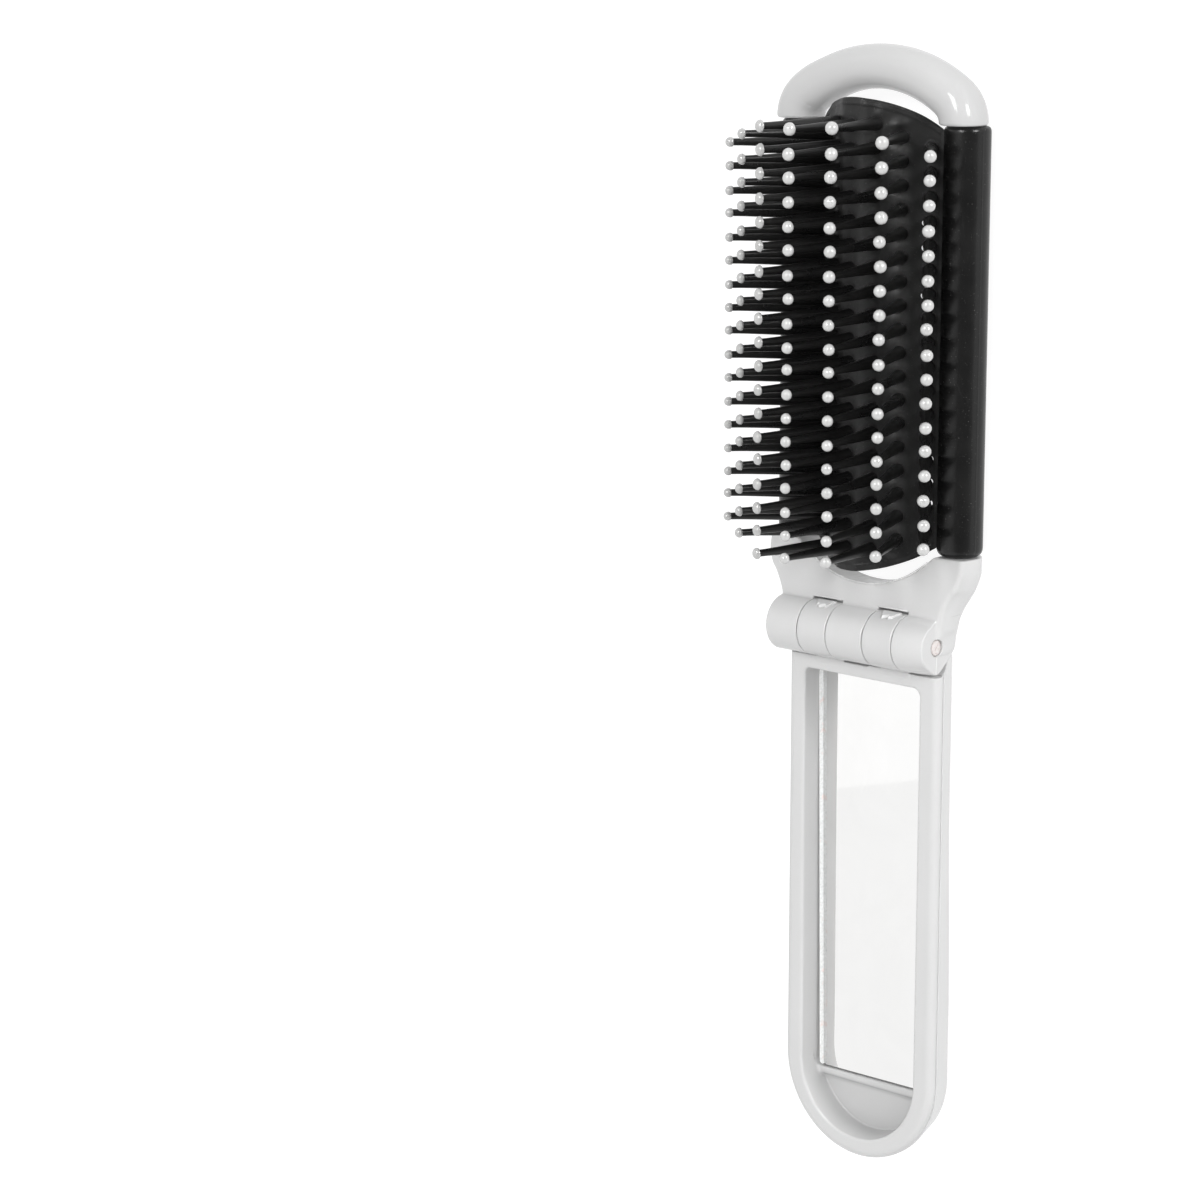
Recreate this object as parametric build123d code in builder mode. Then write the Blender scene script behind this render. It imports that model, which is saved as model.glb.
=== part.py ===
from build123d import *
import math
import os

os.makedirs("parts", exist_ok=True)

# Folding hairbrush with mirror.  The open brush lies on its back along Y: the
# head is at +Y, the handle at -Y, bristles and mirror face +Z.  The origin is
# at the middle of the footprint, on the surface that the brush lies on.
# Every height and length below is measured from the hinge axis.

# ---------------------------------------------------------------- dimensions
HINGE_Y = -2.93          # hinge axis in the part's frame
HINGE_Z = 9.2

BARREL_R = 5.16          # hinge barrel
BARREL_HALF = 17.6
SEAM_IN, SEAM_OUT = 4.2, 10.9
SEAM_GAP = 0.3
PIN_R = 1.5              # steel hinge pin
PIN_RUNNING = 0.05       # radial play of the pin in the handle's knuckles

PLATE_FRONT, PLATE_BACK = 0.2, -5.6
SLOT_Y = 5.62            # edge of the clearance slots over knuckles 2 and 4
SLOT_LOW_Y = 3.4         # how far the plate reaches in behind those knuckles
CUTOUT_R, CUTOUT_LOW = 21.5, 9.5
ARM_END = 15.97
ARM_R = 4.0
ARM_FOOT = (16.3, -3.75, 2.7, 6.3)   # narrow end of an arm: x, z, radius, y

TUBE_X, TUBE_Z, TUBE_R = 18.0, -5.1, 4.1     # black side tubes
TUBE_TOP = 91.04
ROD_R, ROD_PLAY = 2.2, 0.02
ROD_LOW, SOCKET_LOW = 9.3, 9.0

ARCH_Z = -3.9            # hang arch
ARCH_RX, ARCH_RZ = 3.9, 4.7
LEG_X, LEG_TOP = 18.0, 91.64
CORNER_R = 5.2
ARCH_BIG_R, ARCH_CENTRE_Y = 27.4, 73.5

RIM_Z, PARTING_Z, BACK_Z = -0.5, -2.53, -9.2  # handle
HANDLE_W = 17.3          # half width, and radius of the rounded tail
TAIL_Y = -81.6
TOP_END_Y = -2.35        # straight top edge of the cover
TOP_END_R = 5.4          # hollow of the handle's end round the barrel
SIDE_SLOPE = 26.3        # slope of the cover's sides, degrees
COVER_T = 1.15
COVER_EDGE_R = 1.2
RECESS_W, RECESS_TAIL_Y, RECESS_TOP_Y = 13.4, -82.3, -8.2
RECESS_FLOOR = -6.0
MIRROR_W, MIRROR_TOP, MIRROR_LOW = 13.1, -8.5, -84.8
MIRROR_FACE, GLASS_T = -4.6, 1.1

PAD_MID_Y = 53.9         # bristle pad
PITCH = 4.165
WEB_T = 1.0
WEB_END_R = 20.0
SHAFT_L = 16.93          # pin base to the middle of its ball tip
SHAFT_BASE_R, SHAFT_TIP_R = 1.15, 0.62
COLLAR_R, COLLAR_H = 1.35, 0.6
BALL_R = 1.03
# row: number of pins, base x, base z, tilt outwards, web chord, cut back at both ends
ROWS = {
    "d": (19, 0.0, 4.2, 0.0, (-2.1, 4.2), (2.1, 4.2), 0.5, 0.5, 4.139),
    "e": (19, 4.13, 2.94, 12.84, (2.1, 4.2), (6.05, 1.75), 0.8, 0.45, 4.162),
    "f": (18, 7.89, 0.36, 26.31, (6.05, 1.75), (10.1, -1.3), 0.4, 0.8, 4.168),
    "g": (17, 12.0, -2.53, 36.14, (10.1, -1.3), (13.5, -3.5), 0.8, 0.4, 4.203),
}
LEFT = {"c": "e", "b": "f", "a": "g"}


# ------------------------------------------------------- planes of the sketches
def flat(z):
    """Horizontal plane at height z over the hinge axis: x across, y along the brush."""
    return Plane(origin=(0, HINGE_Y, HINGE_Z + z), x_dir=(1, 0, 0), z_dir=(0, 0, 1))


def across(y):
    """Plane across the brush at y from the hinge axis: x across, y up; it faces the handle."""
    return Plane(origin=(0, HINGE_Y + y, HINGE_Z), x_dir=(1, 0, 0), z_dir=(0, -1, 0))


def side(x):
    """Lengthwise plane at x: x along the brush, y up; it faces right."""
    return Plane(origin=(x, HINGE_Y, HINGE_Z), x_dir=(0, 1, 0), z_dir=(1, 0, 0))


knuckle = SEAM_GAP / 2
yoke_knuckles = [(-BARREL_HALF, -SEAM_OUT - knuckle), (-SEAM_IN + knuckle, SEAM_IN - knuckle), (SEAM_OUT + knuckle, BARREL_HALF)]
handle_knuckles = [(-SEAM_OUT + knuckle, -SEAM_IN - knuckle), (SEAM_IN + knuckle, SEAM_OUT - knuckle)]

# ------------------------------------------------------------------------ yoke
outline = [(17.5, 0.0), (17.6, 1.3), (18.05, 4.2), (18.75, 6.9), (19.9, 9.15), (21.0, 10.6), (21.8, 12.9), (21.95, 14.2), (21.8, ARM_END)]
with BuildPart() as yoke:
    # plate, between the barrel and the neck of the two arms
    with BuildSketch(flat(PLATE_BACK)):
        with BuildLine():
            Line((-outline[0][0], -1.5), (outline[0][0], -1.5))
            Line((outline[0][0], -1.5), outline[0])
            Spline(*outline)
            Line(outline[-1], (-outline[-1][0], ARM_END))
            Spline(*[(-x, y) for x, y in reversed(outline)])
            Line((-outline[0][0], 0.0), (-outline[0][0], -1.5))
        make_face()
    extrude(amount=PLATE_FRONT - PLATE_BACK)
    # the front falls away towards the arms' ends, and the wide shoulders are rounded
    with BuildSketch(side(-30)):
        with BuildLine():
            Polyline((8.5, 3.0), (8.5, PLATE_FRONT), (12.5, -0.25), (ARM_END + 0.5, -1.15), (ARM_END + 0.5, 3.0), close=True)
        make_face()
    extrude(amount=60, mode=Mode.SUBTRACT)
    # round arms that the tubes butt against, tapering into the plate
    for s in (-1, 1):
        with BuildSketch(across(ARM_END)):
            with Locations((s * TUBE_X, TUBE_Z)):
                Circle(ARM_R)
        with BuildSketch(across(ARM_FOOT[3])):
            with Locations((s * ARM_FOOT[0], ARM_FOOT[1])):
                Circle(ARM_FOOT[2])
        loft()
    # U cut-out round the pad's lower end
    with BuildSketch(flat(-12)):
        with Locations((0, CUTOUT_LOW + CUTOUT_R)):
            Circle(CUTOUT_R)
    extrude(amount=16, mode=Mode.SUBTRACT)
    # clearance slots for the handle's two knuckles
    # square at the front, round behind the knuckles
    for x0, x1 in handle_knuckles:
        with BuildSketch(flat(0)):
            with Locations(((x0 + x1) / 2, SLOT_Y - 5)):
                Rectangle(x1 - x0 + 2 * SEAM_GAP, 10)
        extrude(amount=4, mode=Mode.SUBTRACT)
        with BuildSketch(side(x0 - SEAM_GAP)):
            Circle(SLOT_Y)
            with Locations((SLOT_LOW_Y - 4, -4)):
                Rectangle(8, 8)
        extrude(amount=x1 - x0 + 2 * SEAM_GAP, mode=Mode.SUBTRACT)
    # three knuckles
    for x0, x1 in yoke_knuckles:
        with BuildSketch(side(x0)):
            Circle(BARREL_R)
        extrude(amount=x1 - x0)
    # pin hole through the knuckles, and the rods' sockets in the arms
    with BuildSketch(side(-BARREL_HALF - 1)):
        Circle(PIN_R)
    extrude(amount=2 * BARREL_HALF + 2, mode=Mode.SUBTRACT)
    with BuildSketch(across(ARM_END)):
        with Locations((-TUBE_X, TUBE_Z), (TUBE_X, TUBE_Z)):
            Circle(ROD_R + ROD_PLAY)
    extrude(amount=ARM_END - SOCKET_LOW, mode=Mode.SUBTRACT)
yoke.part.label = "yoke"
export_step(yoke.part, "parts/yoke.step")

# ------------------------------------------------------------------ arch frame
with BuildPart() as arch_frame:
    # centre line of the arch: leg, corner, long arc, corner, leg
    k = math.asin((LEG_X - CORNER_R) / (ARCH_BIG_R - CORNER_R))
    touch = (ARCH_BIG_R * math.sin(k), ARCH_CENTRE_Y + ARCH_BIG_R * math.cos(k))
    with BuildLine(flat(ARCH_Z)) as path:
        Line((LEG_X, TUBE_TOP), (LEG_X, LEG_TOP))
        a = (90 - math.degrees(k)) / 2
        mid = (LEG_X - CORNER_R + CORNER_R * math.cos(math.radians(a)), LEG_TOP + CORNER_R * math.sin(math.radians(a)))
        ThreePointArc((LEG_X, LEG_TOP), mid, touch)
        ThreePointArc(touch, (0, ARCH_CENTRE_Y + ARCH_BIG_R), (-touch[0], touch[1]))
        ThreePointArc((-touch[0], touch[1]), (-mid[0], mid[1]), (-LEG_X, LEG_TOP))
        Line((-LEG_X, LEG_TOP), (-LEG_X, TUBE_TOP))
    with BuildSketch(Plane(origin=(LEG_X, HINGE_Y + TUBE_TOP, HINGE_Z + ARCH_Z), x_dir=(1, 0, 0), z_dir=(0, 1, 0))):
        Ellipse(ARCH_RX, ARCH_RZ)
    sweep(path=path.wires()[0])
    # the two rods inside the tubes
    with BuildSketch(across(LEG_TOP + 0.6)):
        with Locations((-TUBE_X, TUBE_Z), (TUBE_X, TUBE_Z)):
            Circle(ROD_R)
    extrude(amount=LEG_TOP + 0.6 - ROD_LOW)
arch_frame.part.label = "arch_frame"
export_step(arch_frame.part, "parts/arch_frame.step")


# ----------------------------------------------------------------- side tubes
def sleeve(s):
    """Black tube over one rod, with the narrow lip that the pad hangs from; s is -1 left, 1 right."""
    with BuildPart() as tube:
        with BuildSketch(across(TUBE_TOP)):
            with Locations((s * TUBE_X, TUBE_Z)):
                Circle(TUBE_R)
        extrude(amount=TUBE_TOP - ARM_END)
        fillet(tube.edges().filter_by(GeomType.CIRCLE), 0.5)
        with BuildSketch(across(89.6)):
            with BuildLine():
                Polyline((s * 13.75, -3.7), (s * 14.9, -3.9), (s * 14.9, -4.9), (s * 13.75, -4.5), close=True)
            make_face()
        extrude(amount=89.6 - 18.2)
        with BuildSketch(across(TUBE_TOP)):
            with Locations((s * TUBE_X, TUBE_Z)):
                Circle(ROD_R + ROD_PLAY)
        extrude(amount=TUBE_TOP - ARM_END, mode=Mode.SUBTRACT)
    return tube


sleeve_left = sleeve(-1)
sleeve_left.part.label = "sleeve_left"
export_step(sleeve_left.part, "parts/sleeve_left.step")

sleeve_right = sleeve(1)
sleeve_right.part.label = "sleeve_right"
export_step(sleeve_right.part, "parts/sleeve_right.step")

# ------------------------------------------------------------------ hinge pin
with BuildPart() as hinge_pin:
    with BuildSketch(side(-BARREL_HALF)):
        Circle(PIN_R)
    extrude(amount=2 * BARREL_HALF)
    chamfer(hinge_pin.edges().filter_by(GeomType.CIRCLE), 0.15)
hinge_pin.part.label = "hinge_pin"
export_step(hinge_pin.part, "parts/hinge_pin.step")


# --------------------------------------------------------------- handle halves
def handle_outline(w, tail_r, top):
    """Straight sides with a round tail, as a closed line; top is the y of its other end."""
    Line((-w, TAIL_Y), (-w, top))
    Line((-w, top), (w, top))
    Line((w, top), (w, TAIL_Y))
    ThreePointArc((w, TAIL_Y), (0, TAIL_Y - tail_r), (-w, TAIL_Y))


with BuildPart() as handle_cover:
    # sloping sides down to the flat back
    with BuildSketch(flat(PARTING_Z)):
        with BuildLine():
            handle_outline(HANDLE_W, HANDLE_W, 12)
        make_face()
    extrude(amount=PARTING_Z - BACK_Z, dir=(0, 0, -1), taper=SIDE_SLOPE)
    fillet(handle_cover.faces().sort_by(Axis.Z)[0].edges(), COVER_EDGE_R)
    # inside
    with BuildSketch(flat(PARTING_Z)):
        with BuildLine():
            handle_outline(HANDLE_W - COVER_T, HANDLE_W - COVER_T, 12)
        make_face()
    extrude(amount=PARTING_Z - BACK_Z - COVER_T, dir=(0, 0, -1), taper=SIDE_SLOPE, mode=Mode.SUBTRACT)
    # straight top edge with its end wall, hollow round the barrel
    with BuildSketch(flat(PARTING_Z)):
        with Locations((0, TOP_END_Y + 10)):
            Rectangle(50, 20)
    extrude(amount=-8, mode=Mode.SUBTRACT)
    with BuildSketch(across(TOP_END_Y)):
        with BuildLine():
            Polyline((-15.9, PARTING_Z), (15.9, PARTING_Z), (13.3, BACK_Z + 1.0), (-13.3, BACK_Z + 1.0), close=True)
        make_face()
    extrude(amount=5.2)
    with BuildSketch(side(-20)):
        Circle(TOP_END_R)
    extrude(amount=40, mode=Mode.SUBTRACT)
handle_cover.part.label = "handle_cover"
export_step(handle_cover.part, "parts/handle_cover.step")

TRAY_PLAY = 0.1
with BuildPart() as handle_tray:
    # rim flange, level with the parting line below
    with BuildSketch(flat(RIM_Z)):
        with BuildLine():
            handle_outline(HANDLE_W, HANDLE_W, -3.5)
        make_face()
    extrude(amount=PARTING_Z - RIM_Z)
    fillet(handle_tray.faces().sort_by(Axis.Z)[-1].edges().filter_by(lambda e: e.center().Y < -10), 0.5)
    # body inside the cover
    with BuildSketch(flat(PARTING_Z)):
        with BuildLine():
            handle_outline(HANDLE_W - COVER_T - TRAY_PLAY, HANDLE_W - COVER_T - TRAY_PLAY, 12)
        make_face()
    extrude(amount=PARTING_Z - RECESS_FLOOR + 1.0, dir=(0, 0, -1), taper=SIDE_SLOPE)
    with BuildSketch(flat(PARTING_Z)):
        with Locations((0, -7.6 + 20)):
            Rectangle(50, 40)
    extrude(amount=-8, mode=Mode.SUBTRACT)
    # mirror recess
    with BuildSketch(flat(RECESS_FLOOR)):
        with BuildLine():
            Line((-RECESS_W, RECESS_TAIL_Y), (-RECESS_W, RECESS_TOP_Y))
            Line((-RECESS_W, RECESS_TOP_Y), (RECESS_W, RECESS_TOP_Y))
            Line((RECESS_W, RECESS_TOP_Y), (RECESS_W, RECESS_TAIL_Y))
            ThreePointArc((RECESS_W, RECESS_TAIL_Y), (0, RECESS_TAIL_Y - RECESS_W), (-RECESS_W, RECESS_TAIL_Y))
        make_face()
    extrude(amount=8, mode=Mode.SUBTRACT)
    # rib below the mirror's end
    with BuildSketch(flat(RECESS_FLOOR)):
        with Locations((0, MIRROR_LOW - 0.2 - 0.75)):
            Rectangle(2 * (RECESS_W - 0.65), 1.5)
    extrude(amount=1.35)
    # hollow end round the barrel
    with BuildSketch(side(-20)):
        Circle(TOP_END_R)
    extrude(amount=40, mode=Mode.SUBTRACT)
    # two knuckles with their webs and low detent lugs
    for x0, x1 in handle_knuckles:
        with BuildSketch(side(x0)):
            Circle(BARREL_R)
            with Locations((-3.2, (RIM_Z + PARTING_Z) / 2)):
                Rectangle(6.4, RIM_Z - PARTING_Z)
        extrude(amount=x1 - x0)
        xm = (x0 + x1) / 2
        for ang in (20.0, 240.0):
            with BuildSketch(side(xm - 1.6)):
                with Locations(Location((BARREL_R * math.cos(math.radians(ang)), BARREL_R * math.sin(math.radians(ang)), 0), (0, 0, ang))):
                    Rectangle(0.68, 1.4)
            extrude(amount=3.2)
    with BuildSketch(side(-BARREL_HALF)):
        Circle(PIN_R + PIN_RUNNING)
    extrude(amount=2 * BARREL_HALF, mode=Mode.SUBTRACT)
handle_tray.part.label = "handle_tray"
export_step(handle_tray.part, "parts/handle_tray.step")

# ---------------------------------------------------------------------- mirror
with BuildPart() as mirror_glass:
    with BuildSketch(flat(MIRROR_FACE - GLASS_T)):
        with Locations((0, (MIRROR_TOP + MIRROR_LOW) / 2)):
            Rectangle(2 * MIRROR_W, MIRROR_TOP - MIRROR_LOW)
    extrude(amount=GLASS_T)
mirror_glass.part.label = "mirror"
export_step(mirror_glass.part, "parts/mirror.step")

with BuildPart() as mirror_backing:
    with BuildSketch(flat(RECESS_FLOOR)):
        with Locations((0, (MIRROR_TOP + MIRROR_LOW) / 2)):
            RectangleRounded(2 * MIRROR_W - 1.6, MIRROR_TOP - MIRROR_LOW - 1.6, 1.0)
    extrude(amount=MIRROR_FACE - GLASS_T - RECESS_FLOOR)
mirror_backing.part.label = "mirror_backing"
export_step(mirror_backing.part, "parts/mirror_backing.step")

# ---------------------------------------------------- one bristle and its tip
with BuildPart() as bristle:
    with BuildSketch(Plane.XZ):
        with BuildLine():
            Polyline((0, -0.5), (COLLAR_R, -0.5), (COLLAR_R, COLLAR_H - 0.15), (COLLAR_R - 0.15, COLLAR_H), (SHAFT_BASE_R, COLLAR_H),
                     (SHAFT_TIP_R, SHAFT_L - 0.2), (0, SHAFT_L - 0.2), close=True)
        make_face()
    revolve(axis=Axis.Z)

with BuildPart() as ball_tip:
    with Locations((0, 0, SHAFT_L)):
        Sphere(BALL_R)
    with BuildSketch(Plane.XY.offset(SHAFT_L - 1.4)):
        Circle(SHAFT_TIP_R + 0.03)
    extrude(amount=1.2, mode=Mode.SUBTRACT)


# ----------------------------------------------------------- the seven rows
def strip_profile(s, p, q, cut_p, cut_q):
    """Corners of one web strip across the pad, cut back at both ends along its chord."""
    l = math.hypot(q[0] - p[0], q[1] - p[1])
    d = ((q[0] - p[0]) / l, (q[1] - p[1]) / l)
    n = (d[1], -d[0]) if d[0] > 0 else (-d[1], d[0])
    a = (p[0] + d[0] * cut_p, p[1] + d[1] * cut_p)
    b = (q[0] - d[0] * cut_q, q[1] - d[1] * cut_q)
    c = (b[0] + n[0] * WEB_T, b[1] + n[1] * WEB_T)
    e = (a[0] + n[0] * WEB_T, a[1] + n[1] * WEB_T)
    return [(s * x, z) for x, z in (a, b, c, e)]


def row_places(row, s):
    n, x, z, tilt, p, q, cut_p, cut_q, pitch = ROWS[row]
    return [Location((s * x, HINGE_Y + PAD_MID_Y + (i - (n - 1) / 2) * pitch, HINGE_Z + z), (0, s * tilt, 0)) for i in range(n)]


def bristle_row(row, s):
    """Web strip with its pins; s mirrors the right hand rows to the left."""
    n, x, z, tilt, p, q, cut_p, cut_q, pitch = ROWS[row]
    with BuildPart() as strip:
        with BuildSketch(across(97)):
            with BuildLine():
                Polyline(*strip_profile(s, p, q, cut_p, cut_q), close=True)
            make_face()
        extrude(amount=86)
        # the pad's two ends are shallow arcs across all the rows
        with BuildSketch(flat(-8)):
            with BuildLine():
                ThreePointArc((-14, 17.2), (0, 12.3), (14, 17.2))
                Line((14, 17.2), (14, 90.4))
                ThreePointArc((14, 90.4), (0, 96.0), (-14, 90.4))
                Line((-14, 90.4), (-14, 17.2))
            make_face()
        extrude(amount=14, mode=Mode.INTERSECT)
        with Locations(*row_places(row, s)):
            add(bristle.part)
    return strip


def tip_row(row, s):
    with BuildPart() as tips:
        with Locations(*row_places(row, s)):
            add(ball_tip.part)
    return tips


for name, (row, s) in {"a": ("g", -1), "b": ("f", -1), "c": ("e", -1), "d": ("d", 1), "e": ("e", 1), "f": ("f", 1), "g": ("g", 1)}.items():
    pins = bristle_row(row, s)
    pins.part.label = "bristle_row_" + name
    export_step(pins.part, "parts/bristle_row_" + name + ".step")
    tips = tip_row(row, s)
    tips.part.label = "tips_row_" + name
    export_step(tips.part, "parts/tips_row_" + name + ".step")
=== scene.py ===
"""Folding hairbrush with mirror, open, on a pale studio floor.

Lengths in the shape code are millimetres measured from the hinge axis (x right,
y towards the head, z up, out of the mirror). to_frame() brings them into the
model's own frame, in metres.
"""

import math

import bmesh
import bpy
import numpy as np
from mathutils import Matrix, Vector


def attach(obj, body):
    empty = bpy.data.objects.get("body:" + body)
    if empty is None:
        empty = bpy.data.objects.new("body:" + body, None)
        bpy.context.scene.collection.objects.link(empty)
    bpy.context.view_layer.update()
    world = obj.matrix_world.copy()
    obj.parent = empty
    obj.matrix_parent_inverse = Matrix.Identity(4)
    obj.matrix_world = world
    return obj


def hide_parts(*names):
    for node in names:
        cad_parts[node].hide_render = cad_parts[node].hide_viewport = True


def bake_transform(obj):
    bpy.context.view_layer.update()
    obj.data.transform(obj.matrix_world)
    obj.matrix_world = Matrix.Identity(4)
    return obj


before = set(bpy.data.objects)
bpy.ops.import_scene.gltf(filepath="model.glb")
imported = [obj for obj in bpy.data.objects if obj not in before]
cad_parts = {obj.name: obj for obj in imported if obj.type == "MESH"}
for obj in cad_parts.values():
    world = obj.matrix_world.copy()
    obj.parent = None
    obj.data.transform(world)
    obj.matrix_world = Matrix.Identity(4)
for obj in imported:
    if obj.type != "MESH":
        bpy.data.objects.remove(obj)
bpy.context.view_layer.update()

HINGE_Y, HINGE_Z = -2.93, 9.2
FINE = 1.0      # coarser grids while trying things

# ------------------------------------------------------------------- camera
cam_data = bpy.data.cameras.new("camera")
cam_data.lens = 102.02
cam_data.sensor_width = 36.0
cam_data.clip_start = 0.01
cam_data.clip_end = 50.0
cam = bpy.data.objects.new("camera", cam_data)
bpy.context.scene.collection.objects.link(cam)
RIGHT = Vector((0.72399611, -0.00120317, -0.68980301))
UP = Vector((-0.13527199, 0.98033436, -0.14368726))
BACK = Vector((0.67641047, 0.19734005, 0.70959551))
cam.matrix_world = Matrix((
    (RIGHT.x, UP.x, BACK.x, 0.37925),
    (RIGHT.y, UP.y, BACK.y, 0.12399),
    (RIGHT.z, UP.z, BACK.z, 0.47507),
    (0, 0, 0, 1)))
bpy.context.scene.camera = cam


# ---------------------------------------------------------------- mesh tools
def to_frame(v):
    v = np.asarray(v, float)
    return (v + np.array([0.0, HINGE_Y, HINGE_Z])) / 1000.0


def make_object(name, v, faces, normals=None, mats=(), face_mat=None, smooth=True):
    me = bpy.data.meshes.new(name)
    me.from_pydata(to_frame(v).tolist(), [], [list(f) for f in faces])
    me.validate(verbose=False)
    for m in mats:
        me.materials.append(m)
    me.polygons.foreach_set("use_smooth", [smooth] * len(me.polygons))
    if face_mat is not None:
        me.polygons.foreach_set("material_index", np.asarray(face_mat, np.int32))
    if normals is not None:
        me.normals_split_custom_set_from_vertices(np.asarray(normals, float).tolist())
    me.update()
    ob = bpy.data.objects.new(name, me)
    bpy.context.scene.collection.objects.link(ob)
    return ob


def finish_piece(ob, body, slot, *nodes):
    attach(ob, body)
    if nodes:
        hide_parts(*nodes)
    return ob


# signed distances, negative inside; k is the width of the rounding
def smax(a, b, k):
    h = np.maximum(k - np.abs(a - b), 0.0) / k
    return np.maximum(a, b) + h * h * k * 0.25


def smin(a, b, k):
    return -smax(-a, -b, k)


def poly_sdf(x, y, pts):
    """Distance to a closed polygon in the xy plane."""
    pts = np.asarray(pts, float)
    x, y = np.broadcast_arrays(x, y)
    best = np.full(x.shape, 1e9)
    inside = np.zeros(x.shape, bool)
    n = len(pts)
    for i in range(n):
        ax, ay = pts[i]
        bx, by = pts[(i + 1) % n]
        ex, ey = bx - ax, by - ay
        wx, wy = x - ax, y - ay
        t = np.clip((wx * ex + wy * ey) / (ex * ex + ey * ey), 0, 1)
        best = np.minimum(best, (wx - t * ex) ** 2 + (wy - t * ey) ** 2)
        cross = (ay > y) != (by > y)
        with np.errstate(divide="ignore", invalid="ignore"):
            xi = ex * (y - ay) / (ey if ey else 1e-9) + ax
        inside ^= cross & (x < xi)
    return np.where(inside, -1.0, 1.0) * np.sqrt(best)


def spline(pts, n=12):
    """Catmull-Rom through the points."""
    p = np.asarray(pts, float)
    q = np.vstack([2 * p[0] - p[1], p, 2 * p[-1] - p[-2]])
    out = []
    for i in range(1, len(q) - 2):
        t = np.linspace(0, 1, n, endpoint=False)[:, None]
        a, b, c, d = q[i - 1], q[i], q[i + 1], q[i + 2]
        out.append(0.5 * (2 * b + (c - a) * t + (2 * a - 5 * b + 4 * c - d) * t ** 2 + (3 * b - a - 3 * c + d) * t ** 3))
    out.append(p[-1:])
    return np.vstack(out)


def gradient(f, v, e):
    g = np.empty_like(v)
    for a in range(3):
        d = np.zeros(3)
        d[a] = e
        g[:, a] = (f(*(v + d).T) - f(*(v - d).T)) / (2 * e)
    return g


def surface(f, lo, hi, h):
    """Closed quad mesh of the surface f = 0 in a box: dual grid, then every vertex is moved onto the surface."""
    lo, hi = np.asarray(lo, float), np.asarray(hi, float)
    n = np.ceil((hi - lo) / h).astype(int) + 1
    ax = [lo[i] + h * np.arange(n[i]) for i in range(3)]
    F = np.array(np.broadcast_to(f(ax[0][:, None, None], ax[1][None, :, None], ax[2][None, None, :]), tuple(n)), np.float64)
    S = F < 0
    cnt = np.zeros(tuple(n - 1), np.int8)
    for i in (0, 1):
        for j in (0, 1):
            for k in (0, 1):
                cnt += S[i:n[0] - 1 + i, j:n[1] - 1 + j, k:n[2] - 1 + k]
    I, J, K = np.nonzero((cnt > 0) & (cnt < 8))
    index = np.full(tuple(n - 1), -1, np.int64)
    index[I, J, K] = np.arange(len(I))
    acc = np.zeros((len(I), 3))
    num = np.zeros(len(I))
    corners = [(i, j, k) for i in (0, 1) for j in (0, 1) for k in (0, 1)]
    for a in corners:
        for d in range(3):
            if a[d]:
                continue
            b = list(a)
            b[d] = 1
            fa = F[I + a[0], J + a[1], K + a[2]]
            fb = F[I + b[0], J + b[1], K + b[2]]
            m = (fa < 0) != (fb < 0)
            t = np.where(m, fa / np.where(m, fa - fb, 1), 0)
            p = np.tile(np.asarray(a, float), (len(I), 1))
            p[:, d] += t
            acc[m] += p[m]
            num[m] += 1
    v = lo + h * (np.stack([I, J, K], 1) + acc / num[:, None])
    quads = []
    for d in range(3):
        e1, e2 = (d + 1) % 3, (d + 2) % 3
        sl0 = [slice(None)] * 3
        sl1 = [slice(None)] * 3
        sl0[d], sl1[d] = slice(0, -1), slice(1, None)
        A, B = S[tuple(sl0)], S[tuple(sl1)]
        c = np.stack(np.nonzero(A != B), 1)
        ok = (c[:, e1] > 0) & (c[:, e2] > 0) & (c[:, e1] < n[e1] - 1) & (c[:, e2] < n[e2] - 1)
        c = c[ok]
        out = A[tuple(c.T)]
        q = []
        for o1, o2 in ((1, 1), (0, 1), (0, 0), (1, 0)):
            cc = c.copy()
            cc[:, e1] -= o1
            cc[:, e2] -= o2
            q.append(index[tuple(cc.T)])
        q = np.stack(q, 1)
        q[~out] = q[~out][:, ::-1]
        quads.append(q)
    quads = np.vstack(quads)
    for step in range(4):
        g = gradient(f, v, 0.02)
        l2 = np.maximum((g ** 2).sum(1), 0.05)
        move = -(f(*v.T) / l2)[:, None] * g
        length = np.linalg.norm(move, axis=1)
        move *= np.minimum(1, 0.45 * h / np.maximum(length, 1e-9))[:, None]
        v = v + move
    g = gradient(f, v, 0.05)
    nrm = g / np.maximum(np.linalg.norm(g, axis=1), 1e-9)[:, None]
    return v, quads, nrm


def settle(f, v, h, steps=3):
    """Moves the points onto f = 0 and returns them with their normals."""
    for step in range(steps):
        g = gradient(f, v, 0.02)
        move = -(f(*v.T) / np.maximum((g ** 2).sum(1), 0.05))[:, None] * g
        length = np.linalg.norm(move, axis=1)
        v = v + move * np.minimum(1, h / np.maximum(length, 1e-9))[:, None]
    g = gradient(f, v, 0.05)
    return v, g / np.maximum(np.linalg.norm(g, axis=1), 1e-9)[:, None]


def solid(f, lo, hi, h, keep):
    """surface(), then fewer faces where it is flat: keep is the share that stays."""
    v, q, n = surface(f, lo, hi, h)
    me = bpy.data.meshes.new("dense")
    me.from_pydata(v.tolist(), [], q.tolist())
    ob = bpy.data.objects.new("dense", me)
    bpy.context.scene.collection.objects.link(ob)
    d = ob.modifiers.new("fewer", "DECIMATE")
    d.ratio = keep
    bpy.context.view_layer.update()
    ev = ob.evaluated_get(bpy.context.evaluated_depsgraph_get())
    out = ev.to_mesh()
    co = np.empty(len(out.vertices) * 3)
    out.vertices.foreach_get("co", co)
    v = co.reshape(-1, 3)
    faces = [tuple(p.vertices) for p in out.polygons]
    ev.to_mesh_clear()
    bpy.data.objects.remove(ob)
    bpy.data.meshes.remove(me)
    v, n = settle(f, v, 0.08)
    return v, faces, n


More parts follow.
